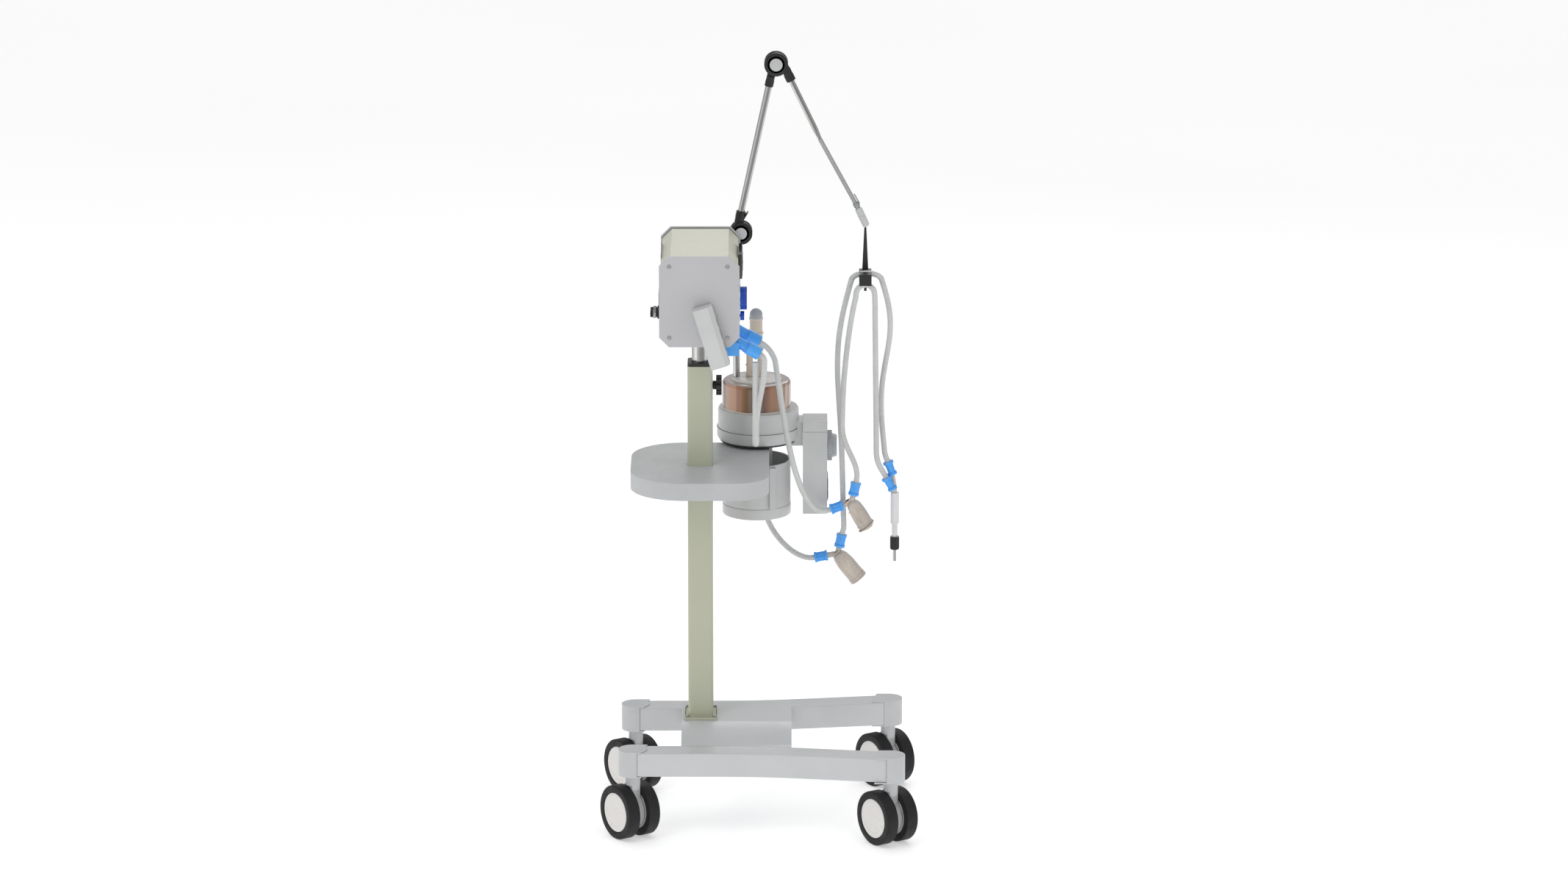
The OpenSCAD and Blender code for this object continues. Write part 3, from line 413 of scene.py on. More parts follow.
def copper_painted_reflections_mat():
    """Copper-brown tinted chamber with painted reflections: broad soft bands round its wall, pale and dark, painted
    highlights and painted shade as on a glossy tinted cylinder, and a paler painted sheen on upward faces.
    """
    t = Tree("copper_tint")
    c_, h_ = cen("chamber"), hi("chamber")
    x = t.n("ShaderNodeMapRange")
    x.inputs["From Min"].default_value = c_.x - 0.08; x.inputs["From Max"].default_value = c_.x + 0.08
    wob = t.math("MULTIPLY", t.math("SUBTRACT", t.noise(6, 2, (1, 1, 0.2)), 0.5), 0.008)
    t.l(t.math("ADD", t.axis(0), wob), x.inputs["Value"])
    # painted reflections: the ramp by X paints pale highlight bands and dark shade bands on the wall, fixed so they
    # face the camera
    r = t.n("ShaderNodeValToRGB"); e = r.color_ramp.elements
    reflection_stops = [(0.0, (196, 180, 170)), (0.018, (104, 64, 46)), (0.045, (96, 58, 42)), (0.06, (198, 160, 140)), (0.105, (206, 164, 142)), (0.17, (216, 166, 136)), (0.2, (214, 160, 128)), (0.212, (178, 124, 92)), (0.3, (168, 120, 86)),
             (0.36, (128, 100, 74)), (0.44, (112, 92, 74)), (0.56, (104, 84, 70)), (0.645, (120, 78, 54)), (0.70, (158, 108, 74)), (0.78, (150, 108, 80)), (0.84, (168, 136, 116)), (0.875, (204, 178, 160)),
             (0.895, (110, 84, 70)), (0.91, (196, 168, 150)), (0.94, (198, 172, 154)), (0.955, (116, 92, 80)), (0.97, (190, 166, 150)), (1.0, (158, 132, 116))]
    e[0].position = reflection_stops[0][0]; e[0].color = (*srgb(*reflection_stops[0][1]), 1); e[1].position = 1.0; e[1].color = (*srgb(*reflection_stops[-1][1]), 1)
    for p_, c in reflection_stops[1:-1]:
        q = e.new(p_); q.color = (*srgb(*c), 1)
    t.l(x.outputs[0], r.inputs[0])
    g = t.n("ShaderNodeNewGeometry"); sp_ = t.n("ShaderNodeSeparateXYZ"); t.l(g.outputs["Normal"], sp_.inputs[0])
    # upward-facing faces are painted paler: a painted sheen of light from above
    top_sheen = t.n("ShaderNodeMapRange"); top_sheen.inputs["From Min"].default_value = 0.6; top_sheen.inputs["From Max"].default_value = 0.9
    t.l(sp_.outputs[2], top_sheen.inputs["Value"])
    wall = t.mix(t.math("MULTIPLY", t.rng(t.noise(40, 3, (1, 1, 0.03)), 0, 1), 0.12), r.outputs[0], srgb(184, 134, 104))
    t.l(t.mix(top_sheen.outputs[0], wall, srgb(184, 172, 168)), t.p.inputs["Base Color"])
    t.l(t.rng(t.noise(50, 4), 0.14, 0.24), t.p.inputs["Roughness"])
    t.l(t.bump(t.noise(60, 2, (1, 1, 0.04)), 0.05, 0.001), t.p.inputs["Normal"])
    t.p.inputs["Transmission Weight"].default_value = 0.0
    t.p.inputs["Coat Weight"].default_value = 0.6
    t.p.inputs["Coat Roughness"].default_value = 0.05
    return t.m


M["copper_tint"] = copper_painted_reflections_mat()


def painted_steel_reflections(t):
    # painted reflections: a grey ramp by which way the surface faces in X, pale stripes of painted highlight and dark
    # stripes of painted shade
    g = t.n("ShaderNodeNewGeometry"); sp_ = t.n("ShaderNodeSeparateXYZ"); t.l(g.outputs["Normal"], sp_.inputs[0])
    m_ = t.n("ShaderNodeMapRange"); m_.inputs["From Min"].default_value = -1; m_.inputs["From Max"].default_value = 1
    wob = t.math("MULTIPLY", t.math("SUBTRACT", t.noise(30, 3, (1, 1, 0.1)), 0.5), 0.12)
    t.l(t.math("ADD", sp_.outputs[0], wob), m_.inputs["Value"])
    r = t.n("ShaderNodeValToRGB"); e = r.color_ramp.elements
    reflection_stops = ((0.0, 118), (0.12, 190), (0.26, 232), (0.36, 168), (0.5, 138), (0.66, 122), (0.74, 150), (0.86, 214), (0.93, 178), (1.0, 120))
    e[0].position = 0.0; e[0].color = (*srgb(118, 118, 119), 1); e[1].position = 1.0; e[1].color = (*srgb(120, 120, 121), 1)
    for p_, v_ in reflection_stops[1:-1]:
        q = e.new(p_); q.color = (*srgb(v_, v_, v_ - 1), 1)
    t.l(m_.outputs[0], r.inputs[0])
    return r.outputs[0]


def painted_reflection_metal(name, rough=0.22):
    t = Tree(name)
    # the base colour is the painted reflection ramp
    t.l(painted_steel_reflections(t), t.p.inputs["Base Color"])
    t.l(t.rng(t.noise(60, 4), rough - 0.04, rough + 0.06), t.p.inputs["Roughness"])
    t.p.inputs["Metallic"].default_value = 1.0
    t.l(t.bump(t.noise(800, 2), 0.04, 0.0002), t.p.inputs["Normal"])
    return t.m


# chrome is coloured with painted reflections
M["chrome"] = painted_reflection_metal("chrome")
M["wire"] = metal("wire", srgb(186, 187, 186), 0.3)


def banded(name, parts, axis_from, axis_to, soft=0.0006):
    """One node made of several finishes along an axis; its metal lengths are coloured with painted reflections. parts:
    [(distance where it starts, colour, roughness, metallic)].
    """
    t = Tree(name)
    a, b = Vector(axis_from), Vector(axis_to)
    d = (b - a).normalized()
    dot = t.n("ShaderNodeVectorMath", operation="DOT_PRODUCT")
    sub = t.n("ShaderNodeVectorMath", operation="SUBTRACT")
    t.l(t.tc.outputs["Object"], sub.inputs[0])
    sub.inputs[1].default_value = a
    t.l(sub.outputs[0], dot.inputs[0])
    dot.inputs[1].default_value = d
    s = dot.outputs["Value"]
    col, rgh, met = None, None, None
    n1 = t.rng(t.noise(24, 4), 0, 1)
    for start, c, r, m in parts:
        cc = t.mix(n1, shade(c, 0.94), shade(c, 1.04))
        if col is None:
            col, rgh, met = cc, r, m
            v1 = t.n("ShaderNodeValue"); v1.outputs[0].default_value = r
            v2 = t.n("ShaderNodeValue"); v2.outputs[0].default_value = m
            rgh, met = v1.outputs[0], v2.outputs[0]
        else:
            k = t.n("ShaderNodeMapRange")
            k.inputs["From Min"].default_value = start - soft
            k.inputs["From Max"].default_value = start + soft
            t.l(s, k.inputs["Value"])
            col = t.mix(k.outputs[0], col, cc)
            rgh = t.mixf(k.outputs[0], rgh, r)
            met = t.mixf(k.outputs[0], met, m)
    # metal lengths take the painted reflection colour in place of their own
    painted_reflection_colour = painted_steel_reflections(t)
    t.l(t.mix(met, col, painted_reflection_colour), t.p.inputs["Base Color"])
    t.l(t.math("ADD", rgh, t.rng(t.noise(55, 4), -0.03, 0.05)), t.p.inputs["Roughness"])
    t.l(met, t.p.inputs["Metallic"])
    t.l(t.bump(t.noise(900, 2), 0.05, 0.0003), t.p.inputs["Normal"])
    return t.m


BLK, CHR = srgb(24, 24, 25), srgb(206, 208, 210)
J1, J2, J3 = joint_at("arm_lower_tilt"), joint_at("arm_upper_tilt"), joint_at("circuit_swing")
AY = J1.y
GL, GH = lo("gooseneck"), hi("gooseneck")
_c, _d, _L = long_axis(*[(a, c[0]) for a, _, c in [points("gooseneck")]][0])
if _d.z > 0: _d = -_d
G1, G2 = _c - _d * (_L / 2), _c + _d * (_L / 2)


def end_ring_centre(node, d, test, far=True):
    """Centre of the sleeve's end face: the ring of corners that lies furthest (or least far) along d."""
    vs = [v for v in points(node)[0] if test(v)]
    for tol in (0.0014, 0.0006):
        t = [v.dot(d) for v in vs]
        m_ = max(t) if far else min(t)
        ring = [v for v, q in zip(vs, t) if abs(q - m_) < tol]
        c = Vector(((min(v.x for v in ring) + max(v.x for v in ring)) / 2, AY, (min(v.z for v in ring) + max(v.z for v in ring)) / 2))
        yield c


_d12 = (J2 - J1).normalized()
A1 = list(end_ring_centre("arm_lower", _d12, lambda v: v.z < J1.z + 0.075 and 0.0056 < abs(v.y - AY) < 0.0108))[-1]
A2 = list(end_ring_centre("arm_lower", _d12, lambda v: v.z > J2.z - 0.08, False))[-1]
_d2g = (G1 - J2).normalized()
_A3 = [v for v in points("arm_upper")[0] if J2.z - 0.06 < v.z < J2.z - 0.02 and (v - J2).dot(_d2g) > 0.026]
_far = max((v - J2).dot(_d2g) for v in _A3)
_r3 = [v for v in _A3 if (v - J2).dot(_d2g) > _far - 0.0025]
A3 = Vector(((min(v.x for v in _r3) + max(v.x for v in _r3)) / 2, AY, (min(v.z for v in _r3) + max(v.z for v in _r3)) / 2))
LA = (A2 - A1).length
# the chrome and steel lengths in these finishes are coloured with painted reflections
NODE_MAT = {
    "arm_lower": banded("arm_lower_finish", [(-1, BLK, 0.4, 0.0), (0.0003, CHR, 0.24, 1.0), (LA - 0.0003, BLK, 0.4, 0.0)], A1, A2),
    "arm_upper": banded("arm_upper_finish", [(-1, BLK, 0.4, 0.0), (0.0003, CHR, 0.24, 1.0)], A3, G1),
    "chamber_tower": banded("tower_finish", [(-1, srgb(214, 200, 184), 0.3, 0.0), (0.0, srgb(168, 172, 178), 0.35, 0.0)], (0, 0, 1.126), (0, 0, 2)),
    "patient_end": banded("patient_end_finish", [(-1, srgb(176, 176, 178), 0.2, 1.0), (0.592, BLK, 0.4, 0.0), (0.623, srgb(226, 227, 229), 0.32, 0.0)], (0, 0, 0), (0, 0, 1)),
}


def dress(o, bevel=0.0006, seg=2, ang=38, plain=False):
    for p in o.data.polygons:
        p.use_smooth = True
    w = o.modifiers.new("weld", "WELD"); w.merge_threshold = 2e-6
    if plain:
        es = o.modifiers.new("edges", "EDGE_SPLIT"); es.split_angle = math.radians(30)
        return
    if bevel:
        b = o.modifiers.new("bevel", "BEVEL")
        b.width = bevel; b.segments = seg; b.limit_method = "ANGLE"; b.angle_limit = math.radians(ang)
        b.use_clamp_overlap = True; b.harden_normals = False; b.miter_outer = "MITER_ARC"
    n = o.modifiers.new("normals", "WEIGHTED_NORMAL"); n.keep_sharp = True; n.weight = 60


BEV = {"tray": 0.0022, "legs": 0.002, "end_caps": 0.0009, "cross_beam": 0.001, "side_plates": 0.0008, "shell": 0.0012, "control_box": 0.0025, "heater_base": 0.0012,
       "cup": 0.0008, "cup_ring": 0.0025, "side_bracket": 0.002, "pole": 0.0, "chamber_tower": 0.0, "foot_plate": 0.0008, "display": 0.0015, "box_display": 0.0005,
       "fork_front_left": 0.0015, "fork_front_right": 0.0015, "fork_rear_left": 0.0015, "fork_rear_right": 0.0015, "lock_knob": 0.0018, "heat_knob": 0.001,
       "hanger": 0.0012, "arm_post": 0.0015, "arm_lower": 0.001, "arm_upper": 0.001, "hose_clamp": 0.0008, "water_traps": 0.001, "flow_knob": 0.0008, "humidifier_bracket": 0.0025, "pole_collar": 0.0015}
for name, o in N.items():
    o.data.materials.clear()
    o.data.materials.append(NODE_MAT.get(name) or M[SLOT[name]])
    dress(o, BEV.get(name, 0.0005), plain=name in ("side_plates", "shell", "plate_screws", "rear_panel", "control_board"))


# ------------------------------------------------------------------ mesh helpers
def obj(name, verts, faces, mat, smooth=True):
    me = bpy.data.meshes.new(name)
    me.from_pydata([tuple(v) for v in verts], [], faces)
    me.validate(); me.update()
    bm = bmesh.new(); bm.from_mesh(me); bmesh.ops.recalc_face_normals(bm, faces=bm.faces); bm.to_mesh(me); bm.free()
    for p in me.polygons:
        p.use_smooth = smooth
    o = bpy.data.objects.new(name, me)
    bpy.context.scene.collection.objects.link(o)
    me.materials.append(mat)
    return o


def put(o, body, slot):
    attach(o, body)
    return o


def frame_of(d):
    d = Vector(d).normalized()
    u = d.cross(Vector((0, 1, 0)) if abs(d.y) < 0.9 else Vector((1, 0, 0))).normalized()
    return d, u, d.cross(u)


def lathe(name, prof, at, axis, mat, seg=64):
    """prof: [(radius, distance along axis)], closed at the axis."""
    d, u, v = frame_of(axis); at = Vector(at)
    vs, fs = [], []
    for r, z in prof:
        for k in range(seg):
            a = 2 * math.pi * k / seg
            vs.append(at + d * z + u * (r * math.cos(a)) + v * (r * math.sin(a)))
    n = len(prof)
    for i in range(n - 1):
        for k in range(seg):
            a, b = i * seg + k, i * seg + (k + 1) % seg
            fs.append((a, b, b + seg, a + seg))
    if prof[0][0] > 1e-6: fs.append(tuple(range(seg - 1, -1, -1)))
    if prof[-1][0] > 1e-6: fs.append(tuple((n - 1) * seg + k for k in range(seg)))
    o = obj(name, vs, fs, mat)
    w = o.modifiers.new("weld", "WELD"); w.merge_threshold = 1e-6
    b = o.modifiers.new("bevel", "BEVEL"); b.width = 0.0004; b.segments = 2; b.limit_method = "ANGLE"; b.angle_limit = math.radians(35)
    m = o.modifiers.new("normals", "WEIGHTED_NORMAL"); m.keep_sharp = True
    return o


def box_piece(name, mn, mx, mat, bevel=0.001, rot=None, pivot=None):
    (x0, y0, z0), (x1, y1, z1) = mn, mx
    vs = [Vector(v) for v in ((x0, y0, z0), (x1, y0, z0), (x1, y1, z0), (x0, y1, z0), (x0, y0, z1), (x1, y0, z1), (x1, y1, z1), (x0, y1, z1))]
    if rot is not None:
        pv = Vector(pivot)
        vs = [pv + rot @ (v - pv) for v in vs]
    o = obj(name, vs, [(0, 3, 2, 1), (4, 5, 6, 7), (0, 1, 5, 4), (1, 2, 6, 5), (2, 3, 7, 6), (3, 0, 4, 7)], mat)
    b = o.modifiers.new("bevel", "BEVEL"); b.width = bevel; b.segments = 3
    m = o.modifiers.new("normals", "WEIGHTED_NORMAL")
    return o


def catmull(p, m):
    p = [Vector(q) for q in p]; out = []
    for i in range(len(p) - 1):
        a, b, c, d = p[max(0, i - 1)], p[i], p[i + 1], p[min(len(p) - 1, i + 2)]
        for k in range(m):
            t = k / m
            out.append(0.5 * (2 * b + (c - a) * t + (2 * a - 5 * b + 4 * c - d) * t * t + (3 * b - a - 3 * c + d) * t ** 3))
    out.append(p[-1])
    return out


def resample(pts, step):
    cum = [0.0]
    for a, b in zip(pts, pts[1:]): cum.append(cum[-1] + (b - a).length)
    total = cum[-1]; n = max(2, int(round(total / step))); out = []; j = 0
    for i in range(n + 1):
        s = total * i / n
        while j < len(cum) - 2 and cum[j + 1] < s: j += 1
        f = (s - cum[j]) / max(1e-9, cum[j + 1] - cum[j])
        out.append(pts[j].lerp(pts[j + 1], min(1, max(0, f))))
    return out, total / n


def tube(name, pts, rad, mat, seg=18, caps=True):
    """pts: centre line; rad(i, n) gives the radius at each ring."""
    n = len(pts)
    tan = [(pts[min(n - 1, i + 1)] - pts[max(0, i - 1)]).normalized() for i in range(n)]
    u = tan[0].cross(Vector((0, 1, 0)) if abs(tan[0].y) < 0.9 else Vector((1, 0, 0))).normalized()
    vs, fs = [], []
    for i in range(n):
        u = (u - tan[i] * u.dot(tan[i])).normalized(); v = tan[i].cross(u); r = rad(i, n)
        for k in range(seg):
            a = 2 * math.pi * k / seg
            vs.append(pts[i] + u * (r * math.cos(a)) + v * (r * math.sin(a)))
    for i in range(n - 1):
        for k in range(seg):
            a, b = i * seg + k, i * seg + (k + 1) % seg
            fs.append((a, b, b + seg, a + seg))
    if caps:
        fs.append(tuple(range(seg - 1, -1, -1))); fs.append(tuple((n - 1) * seg + k for k in range(seg)))
    return obj(name, vs, fs, mat)


HR = 0.0069
PITCH = 0.0042
RIB = (0.0, 0.62, 1.0, 0.62)


def corrugated(name, way, m=8, r=HR, depth=0.0011, cuff=0.010, cuff2=None):
    """Centre points, ring step and radius rule of a corrugated hose along way points (mm), with smooth cuffs at its
    ends; the caller builds the tube.
    """
    pts, step = resample(catmull(way, m), PITCH / 4)
    n = len(pts); c0 = cuff / step; c1 = (cuff if cuff2 is None else cuff2) / step

    def rad(i, n_):
        if i < c0 or i > n_ - 1 - c1: return r - 0.0001
        return r - depth * (1 - RIB[i % 4])
    return pts, step, rad


def ext(way, a=None, b=None):
    """Runs a hose's end a little into the fitting it joins, along its own direction."""
    w = [Vector(p) for p in way]
    if a: w.insert(0, w[0] + (w[0] - w[1]).normalized() * a)
    if b: w.append(w[-1] + (w[-1] - w[-2]).normalized() * b)
    return w


def hose_lines(node):
    vs, adj, comps = points(node)
    out = []
    for c in comps:
        line = ring_line(vs, adj, c)
        if len(line) > 8 and (line[0] - line[-1]).length > 0.05: out.append(line)
    return out


CIR = []
for nm, node in (("hose_limb_outer", "limb_outer"), ("hose_limb_inner", "limb_inner")):
    way = ext(hose_lines(node)[0], 0.008, 0.008)
    pts, step, rad = corrugated(nm, way)
    o = tube(nm, pts, rad, M["hose"], 20)
    put(o, "circuit", "hose"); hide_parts(node)


def chain(nm, way, cuts):
    """A hose that crosses several joints: cut into lengths at the given fractions, each a separate tube in world place.
    """
    pts, step, rad = corrugated(nm, way)
    n = len(pts); idx = [0] + [4 * int(round(n * c / 4)) for c in cuts] + [n - 1]
    out = []
    for k in range(len(idx) - 1):
        i0, i1 = idx[k], idx[k + 1]
        seg = pts[i0:i1 + 1]
        # the rings at a cut are shared by both lengths
        o = tube(f"{nm}_{k + 1}", seg, lambda i, m, i0=i0: rad(i + i0, n), M["hose"], 20, caps=(k in (0, len(idx) - 2)))
        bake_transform(o)
        out.append(o)
    return out


def start_at_top(line):
    return line if line[0].z > line[-1].z else line[::-1]


SUP = sorted([start_at_top(l) for l in hose_lines("supply_hoses")], key=lambda l: -l[0].z)
high = [l for l in SUP if l[0].z > 1.05]
W1 = max(high, key=lambda l: l[-1].x)
W2 = min(high, key=lambda l: l[-1].x)
W3 = [l for l in SUP if l[0].z < 0.75][0]
S1 = chain("supply_hose_1", ext(W1, 0.030, 0.008), (0.34, 0.68))
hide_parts("supply_hoses")
S3 = chain("supply_hose_3", ext(W3, 0, 0.008), (0.48, 0.59, 0.70))
# the second supply hose runs into the drop tube, whose axis and foot are those of the solid's lowest part
vs_, adj_, comps_ = points("supply_hoses")
foot = min(comps_, key=lambda c: min(vs_[i].x for i in c))
tube_low = min(vs_[i].z for i in foot)
rim = [vs_[i] for i in foot if tube_low + 0.004 < vs_[i].z < tube_low + 0.02] or [vs_[i] for i in foot if vs_[i].z < tube_low + 0.02]
tx, ty = (min(q.x for q in rim) + max(q.x for q in rim)) / 2, (min(q.y for q in rim) + max(q.y for q in rim)) / 2
last = W2[-1]
W2 = W2 + [Vector((tx + (last.x - tx) * 0.45, ty + (last.y - ty) * 0.45, last.z - 0.038)), Vector((tx, ty, last.z - 0.085)), Vector((tx, ty, last.z - 0.10))]
pts, step, rad = corrugated("supply_hose_2", ext(W2, 0.030, 0))
put(tube("supply_hose_2", pts, rad, M["hose"], 20), "head", "hose")
stub = [(0.0, 0.0001), (0.0036, 0.0007), (0.0062, 0.003), (0.0074, 0.006), (0.0076, 0.010), (0.0076, 0.060), (0.0073, 0.070), (0.0073, 0.1962), (0.0066, 0.1972), (0.0, 0.1972)]
put(lathe("supply_hose_2_end", stub, (tx, ty, tube_low), (0, 0, 1), M["hose"], 40), "head", "hose")

# ------------------------------------------------------------------ support arm
def strand(name, a, b, rs, rh, turns, phase, mat, nper=22):
    d, u, v = frame_of(b - a); L = (b - a).length; n = int(turns * nper)
    pts = []
    for i in range(n + 1):
        t = i / n; ang = phase + 2 * math.pi * turns * t
        pts.append(a + d * (L * t) + u * (rh * math.cos(ang)) + v * (rh * math.sin(ang)))
    return tube(name, pts, lambda i, m: rs, mat, 10)


gd = (G2 - G1).normalized()
for k in range(3):
    put(strand(f"gooseneck_wire_{k + 1}", G1 - gd * 0.004, G2 + gd * 0.002, 0.0022, 0.0032, 13, k * 2 * math.pi / 3, M["wire"]), "arm_upper", "chrome")
du, uu, vv = frame_of(gd)
put(lathe("gooseneck_ferrule_low", [(0, -0.012), (0.0066, -0.012), (0.0072, -0.010), (0.0072, -0.001), (0, -0.001)], G2, gd, M["steel"], 40), "arm_upper", "steel")
put(lathe("tension_wire", [(0, 0), (0.0014, 0), (0.0014, 0.026), (0, 0.026)], G2 - gd * 0.032 + Vector((0.0072, 0, 0.0036)), gd, M["steel"], 12), "arm_upper", "steel")
for nm, p, body, r in (("joint_cap_lower", J1, "arm_lower", 0.0135), ("joint_cap_upper", J2, "arm_upper", 0.0147)):
    for s in (-1, 1):
        prof = [(0, 0.0), (r, 0.0), (r, 0.0030), (r - 0.0012, 0.0042), (r * 0.6, 0.0049), (0, 0.0052)]
        put(lathe(f"{nm}_{'near' if s < 0 else 'far'}", prof, (p.x, AY + s * 0.0132, p.z), (0, s, 0), M["joint_disc"], 64), body, "fork_plastic")
for nm, p, body, r in (("ring_lower", J1, "arm_lower", 0.026), ("ring_upper", J2, "arm_upper", 0.027)):
    for s in (-1, 1):
        prof = [(r - 0.008, 0.0), (r - 0.0015, 0.0), (r - 0.0009, 0.0007), (r - 0.0072, 0.0012), (r - 0.008, 0.0)]
        put(lathe(f"{nm}_{'near' if s < 0 else 'far'}", prof, (p.x, AY + s * 0.0141, p.z), (0, s, 0), M["black_plastic"], 64), body, "black_plastic")
# rims and lengthwise ribs of the sleeves where the tubes enter the joints
for nm, at, d, r, body in (("sleeve_1", A1, (A2 - A1).normalized(), 0.0106, "arm_lower"), ("sleeve_2", A2, (A1 - A2).normalized(), 0.0095, "arm_lower"), ("sleeve_3", A3, (G1 - A3).normalized(), 0.0106, "arm_upper")):
    prof = [(r - 0.0018, -0.0022), (r + 0.0004, -0.0020), (r + 0.0006, -0.0010), (r + 0.0003, 0.0003), (r - 0.0010, 0.0009), (r - 0.0026, 0.0009), (r - 0.0018, -0.0022)]
    put(lathe(nm, prof, at, d, M["black_plastic"], 40), body, "black_plastic")
    _, u_, v_ = frame_of(d)
    for k in range(10):
        an = 2 * math.pi * k / 10; dr = u_ * math.cos(an) + v_ * math.sin(an); tr = d.cross(dr); vs = []
        for z in (-0.0145, -0.0022):
            for ro, w_ in ((r - 0.0006, 0.0008), (r - 0.0006, -0.0008), (r + 0.0004, -0.0005), (r + 0.0004, 0.0005)):
                vs.append(at + d * z + dr * ro + tr * w_)
        put(obj(f"{nm}_rib_{k + 1}", vs, [(0, 3, 2, 1), (4, 5, 6, 7)] + [(q, (q + 1) % 4, 4 + (q + 1) % 4, 4 + q) for q in range(4)], M["black_plastic"], False), body, "black_plastic")

# ------------------------------------------------------------------ casters
A55 = math.radians(55.5)
AX = Vector((math.sin(A55), math.cos(A55), 0))
for key in ("front_left", "front_right", "rear_left", "rear_right"):
    c = cen("hubs_" + key)
    hub_reach = max((v - c).dot(AX) for v in points("hubs_" + key)[0])
    tyre_t = [abs((v - c).dot(AX)) for v in points("tyres_" + key)[0]]
    tyre_mid, tyre_half = (max(tyre_t) + min(tyre_t)) / 2, (max(tyre_t) - min(tyre_t)) / 2
    for s in (-1, 1):
        tag = f"{key}_{'a' if s < 0 else 'b'}"
        face = c + AX * (s * (hub_reach - 0.0005))
        prof = [(0.0, 0.0), (0.0415, 0.0), (0.0425, -0.0006), (0.0425, -0.003), (0, -0.003)]
        prof = [(0.0, 0.0004), (0.010, 0.0004), (0.0105, 0.0), (0.0335, 0.0002), (0.034, 0.0008), (0.0395, 0.0010), (0.0405, 0.0004), (0.0405, -0.003), (0, -0.003)]
        put(lathe("hub_face_" + tag, prof, face - AX * (s * 0.0003), AX * s, M["hub"], 72), "wheels_" + key, "hub")
        # moulded line and shallow tread grooves round the tyre
        mid = c + AX * (s * tyre_mid)
        ring = [(0.0590, -0.0001), (0.0598, 0.0010), (0.0590, 0.0021)]
        for q, off in (("in", -0.0092), ("out", 0.0092)):
            put(lathe(f"tyre_line_{q}_{tag}", [(0.0600, -0.0005), (0.06262, -0.0005), (0.06262, 0.0005), (0.0600, 0.0005), (0.0600, -0.0005)], mid + AX * (math.copysign(tyre_half - 0.0042, off)), AX, M["tyre"], 96), "wheels_" + key, "tyre")
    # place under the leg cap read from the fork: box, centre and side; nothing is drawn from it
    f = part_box("fork_" + key)
    fx = 0.2925 if "front" in key else -0.2925
    fy = cen("fork_" + key).y
    cap_y = (1 if "right" in key else -1)

# ------------------------------------------------------------------ head
x1 = hi("front_panel").x
fp0, fp1 = lo("front_panel"), hi("front_panel")
d0, d1 = lo("display"), hi("display")
put(box_piece("display_window", (d1.x - 0.0004, d0.y + 0.006, d0.z + 0.006), (d1.x + 0.0006, d1.y - 0.006, d1.z - 0.006), M["display_black"], 0.0004), "head", "display_black")


def glow(name, c, s):
    t = Tree(name)
    t.l(t.mix(t.rng(t.noise(300, 2), 0, 1), shade(c, 0.8), c), t.p.inputs["Base Color"])
    t.p.inputs["Emission Color"].default_value = (*c, 1); t.p.inputs["Emission Strength"].default_value = s
    t.l(t.rng(t.noise(80, 2), 0.3, 0.5), t.p.inputs["Roughness"])
    return t.m


M["lamp_dim"] = glow("lamp_dim", srgb(120, 150, 128), 0.05)
M["trace_green"] = glow("trace_green", srgb(46, 92, 66), 0.02)
M["trace_amber"] = glow("trace_amber", srgb(92, 76, 44), 0.02)
for row, (mat_, amp) in enumerate((("trace_green", 0.006), ("trace_amber", 0.0045))):
    pts = []
    zc = d1.z - 0.018 - row * 0.019
    for i in range(121):
        t = i / 120; ph = (t * 3.2) % 1.0
        w = (1 - math.exp(-ph * 12)) if ph < 0.42 else math.exp(-(ph - 0.42) * 9)
        if row: w = math.sin(ph * math.pi * 2) * (1.0 if ph < 0.5 else 0.5)
        pts.append(Vector((d1.x + 0.0008, d0.y + 0.012 + t * (d1.y - d0.y - 0.024), zc - 0.004 + amp * w)))
    put(tube(f"display_trace_{row + 1}", pts, lambda i, n: 0.00035, M[mat_], 6), "head", "display_black")
# membrane keys, lamps and printed scale round the knobs
for i, y in enumerate((-0.105, -0.080, -0.055, 0.055, 0.080, 0.105)):
    put(box_piece(f"key_{i + 1}", (fp1.x - 0.0002, y - 0.009, 1.243), (fp1.x + 0.0010, y + 0.009, 1.255), M["white_ink"], 0.0008), "head", "membrane")
    put(lathe(f"lamp_{i + 1}", [(0, 0), (0.0022, 0), (0.0018, 0.0012), (0, 0.0016)], (fp1.x, y, 1.2625), (1, 0, 0), M["lamp_dim"], 20), "head", "membrane")


def ticks(nm, c, r0, r1, n, a0, a1, body, slot_, w=0.0008):
    vs, fs = [], []
    for i in range(n):
        a = math.radians(a0 + (a1 - a0) * i / (n - 1)); rr = r1 if i % 2 == 0 else (r0 + r1) / 2
        dr, tr = Vector((0, math.cos(a), math.sin(a))), Vector((0, -math.sin(a), math.cos(a)))
        b = len(vs)
        for x in (0.0, 0.0005):
            for rad_, sg in ((r0, -1), (r0, 1), (rr, 1), (rr, -1)):
                vs.append(Vector(c) + Vector((x, 0, 0)) + dr * rad_ + tr * (sg * w / 2))
        fs += [(b, b + 3, b + 2, b + 1), (b + 4, b + 5, b + 6, b + 7)] + [(b + k, b + (k + 1) % 4, b + 4 + (k + 1) % 4, b + 4 + k) for k in range(4)]
    put(obj(nm, vs, fs, M["white_ink"], False), body, slot_)


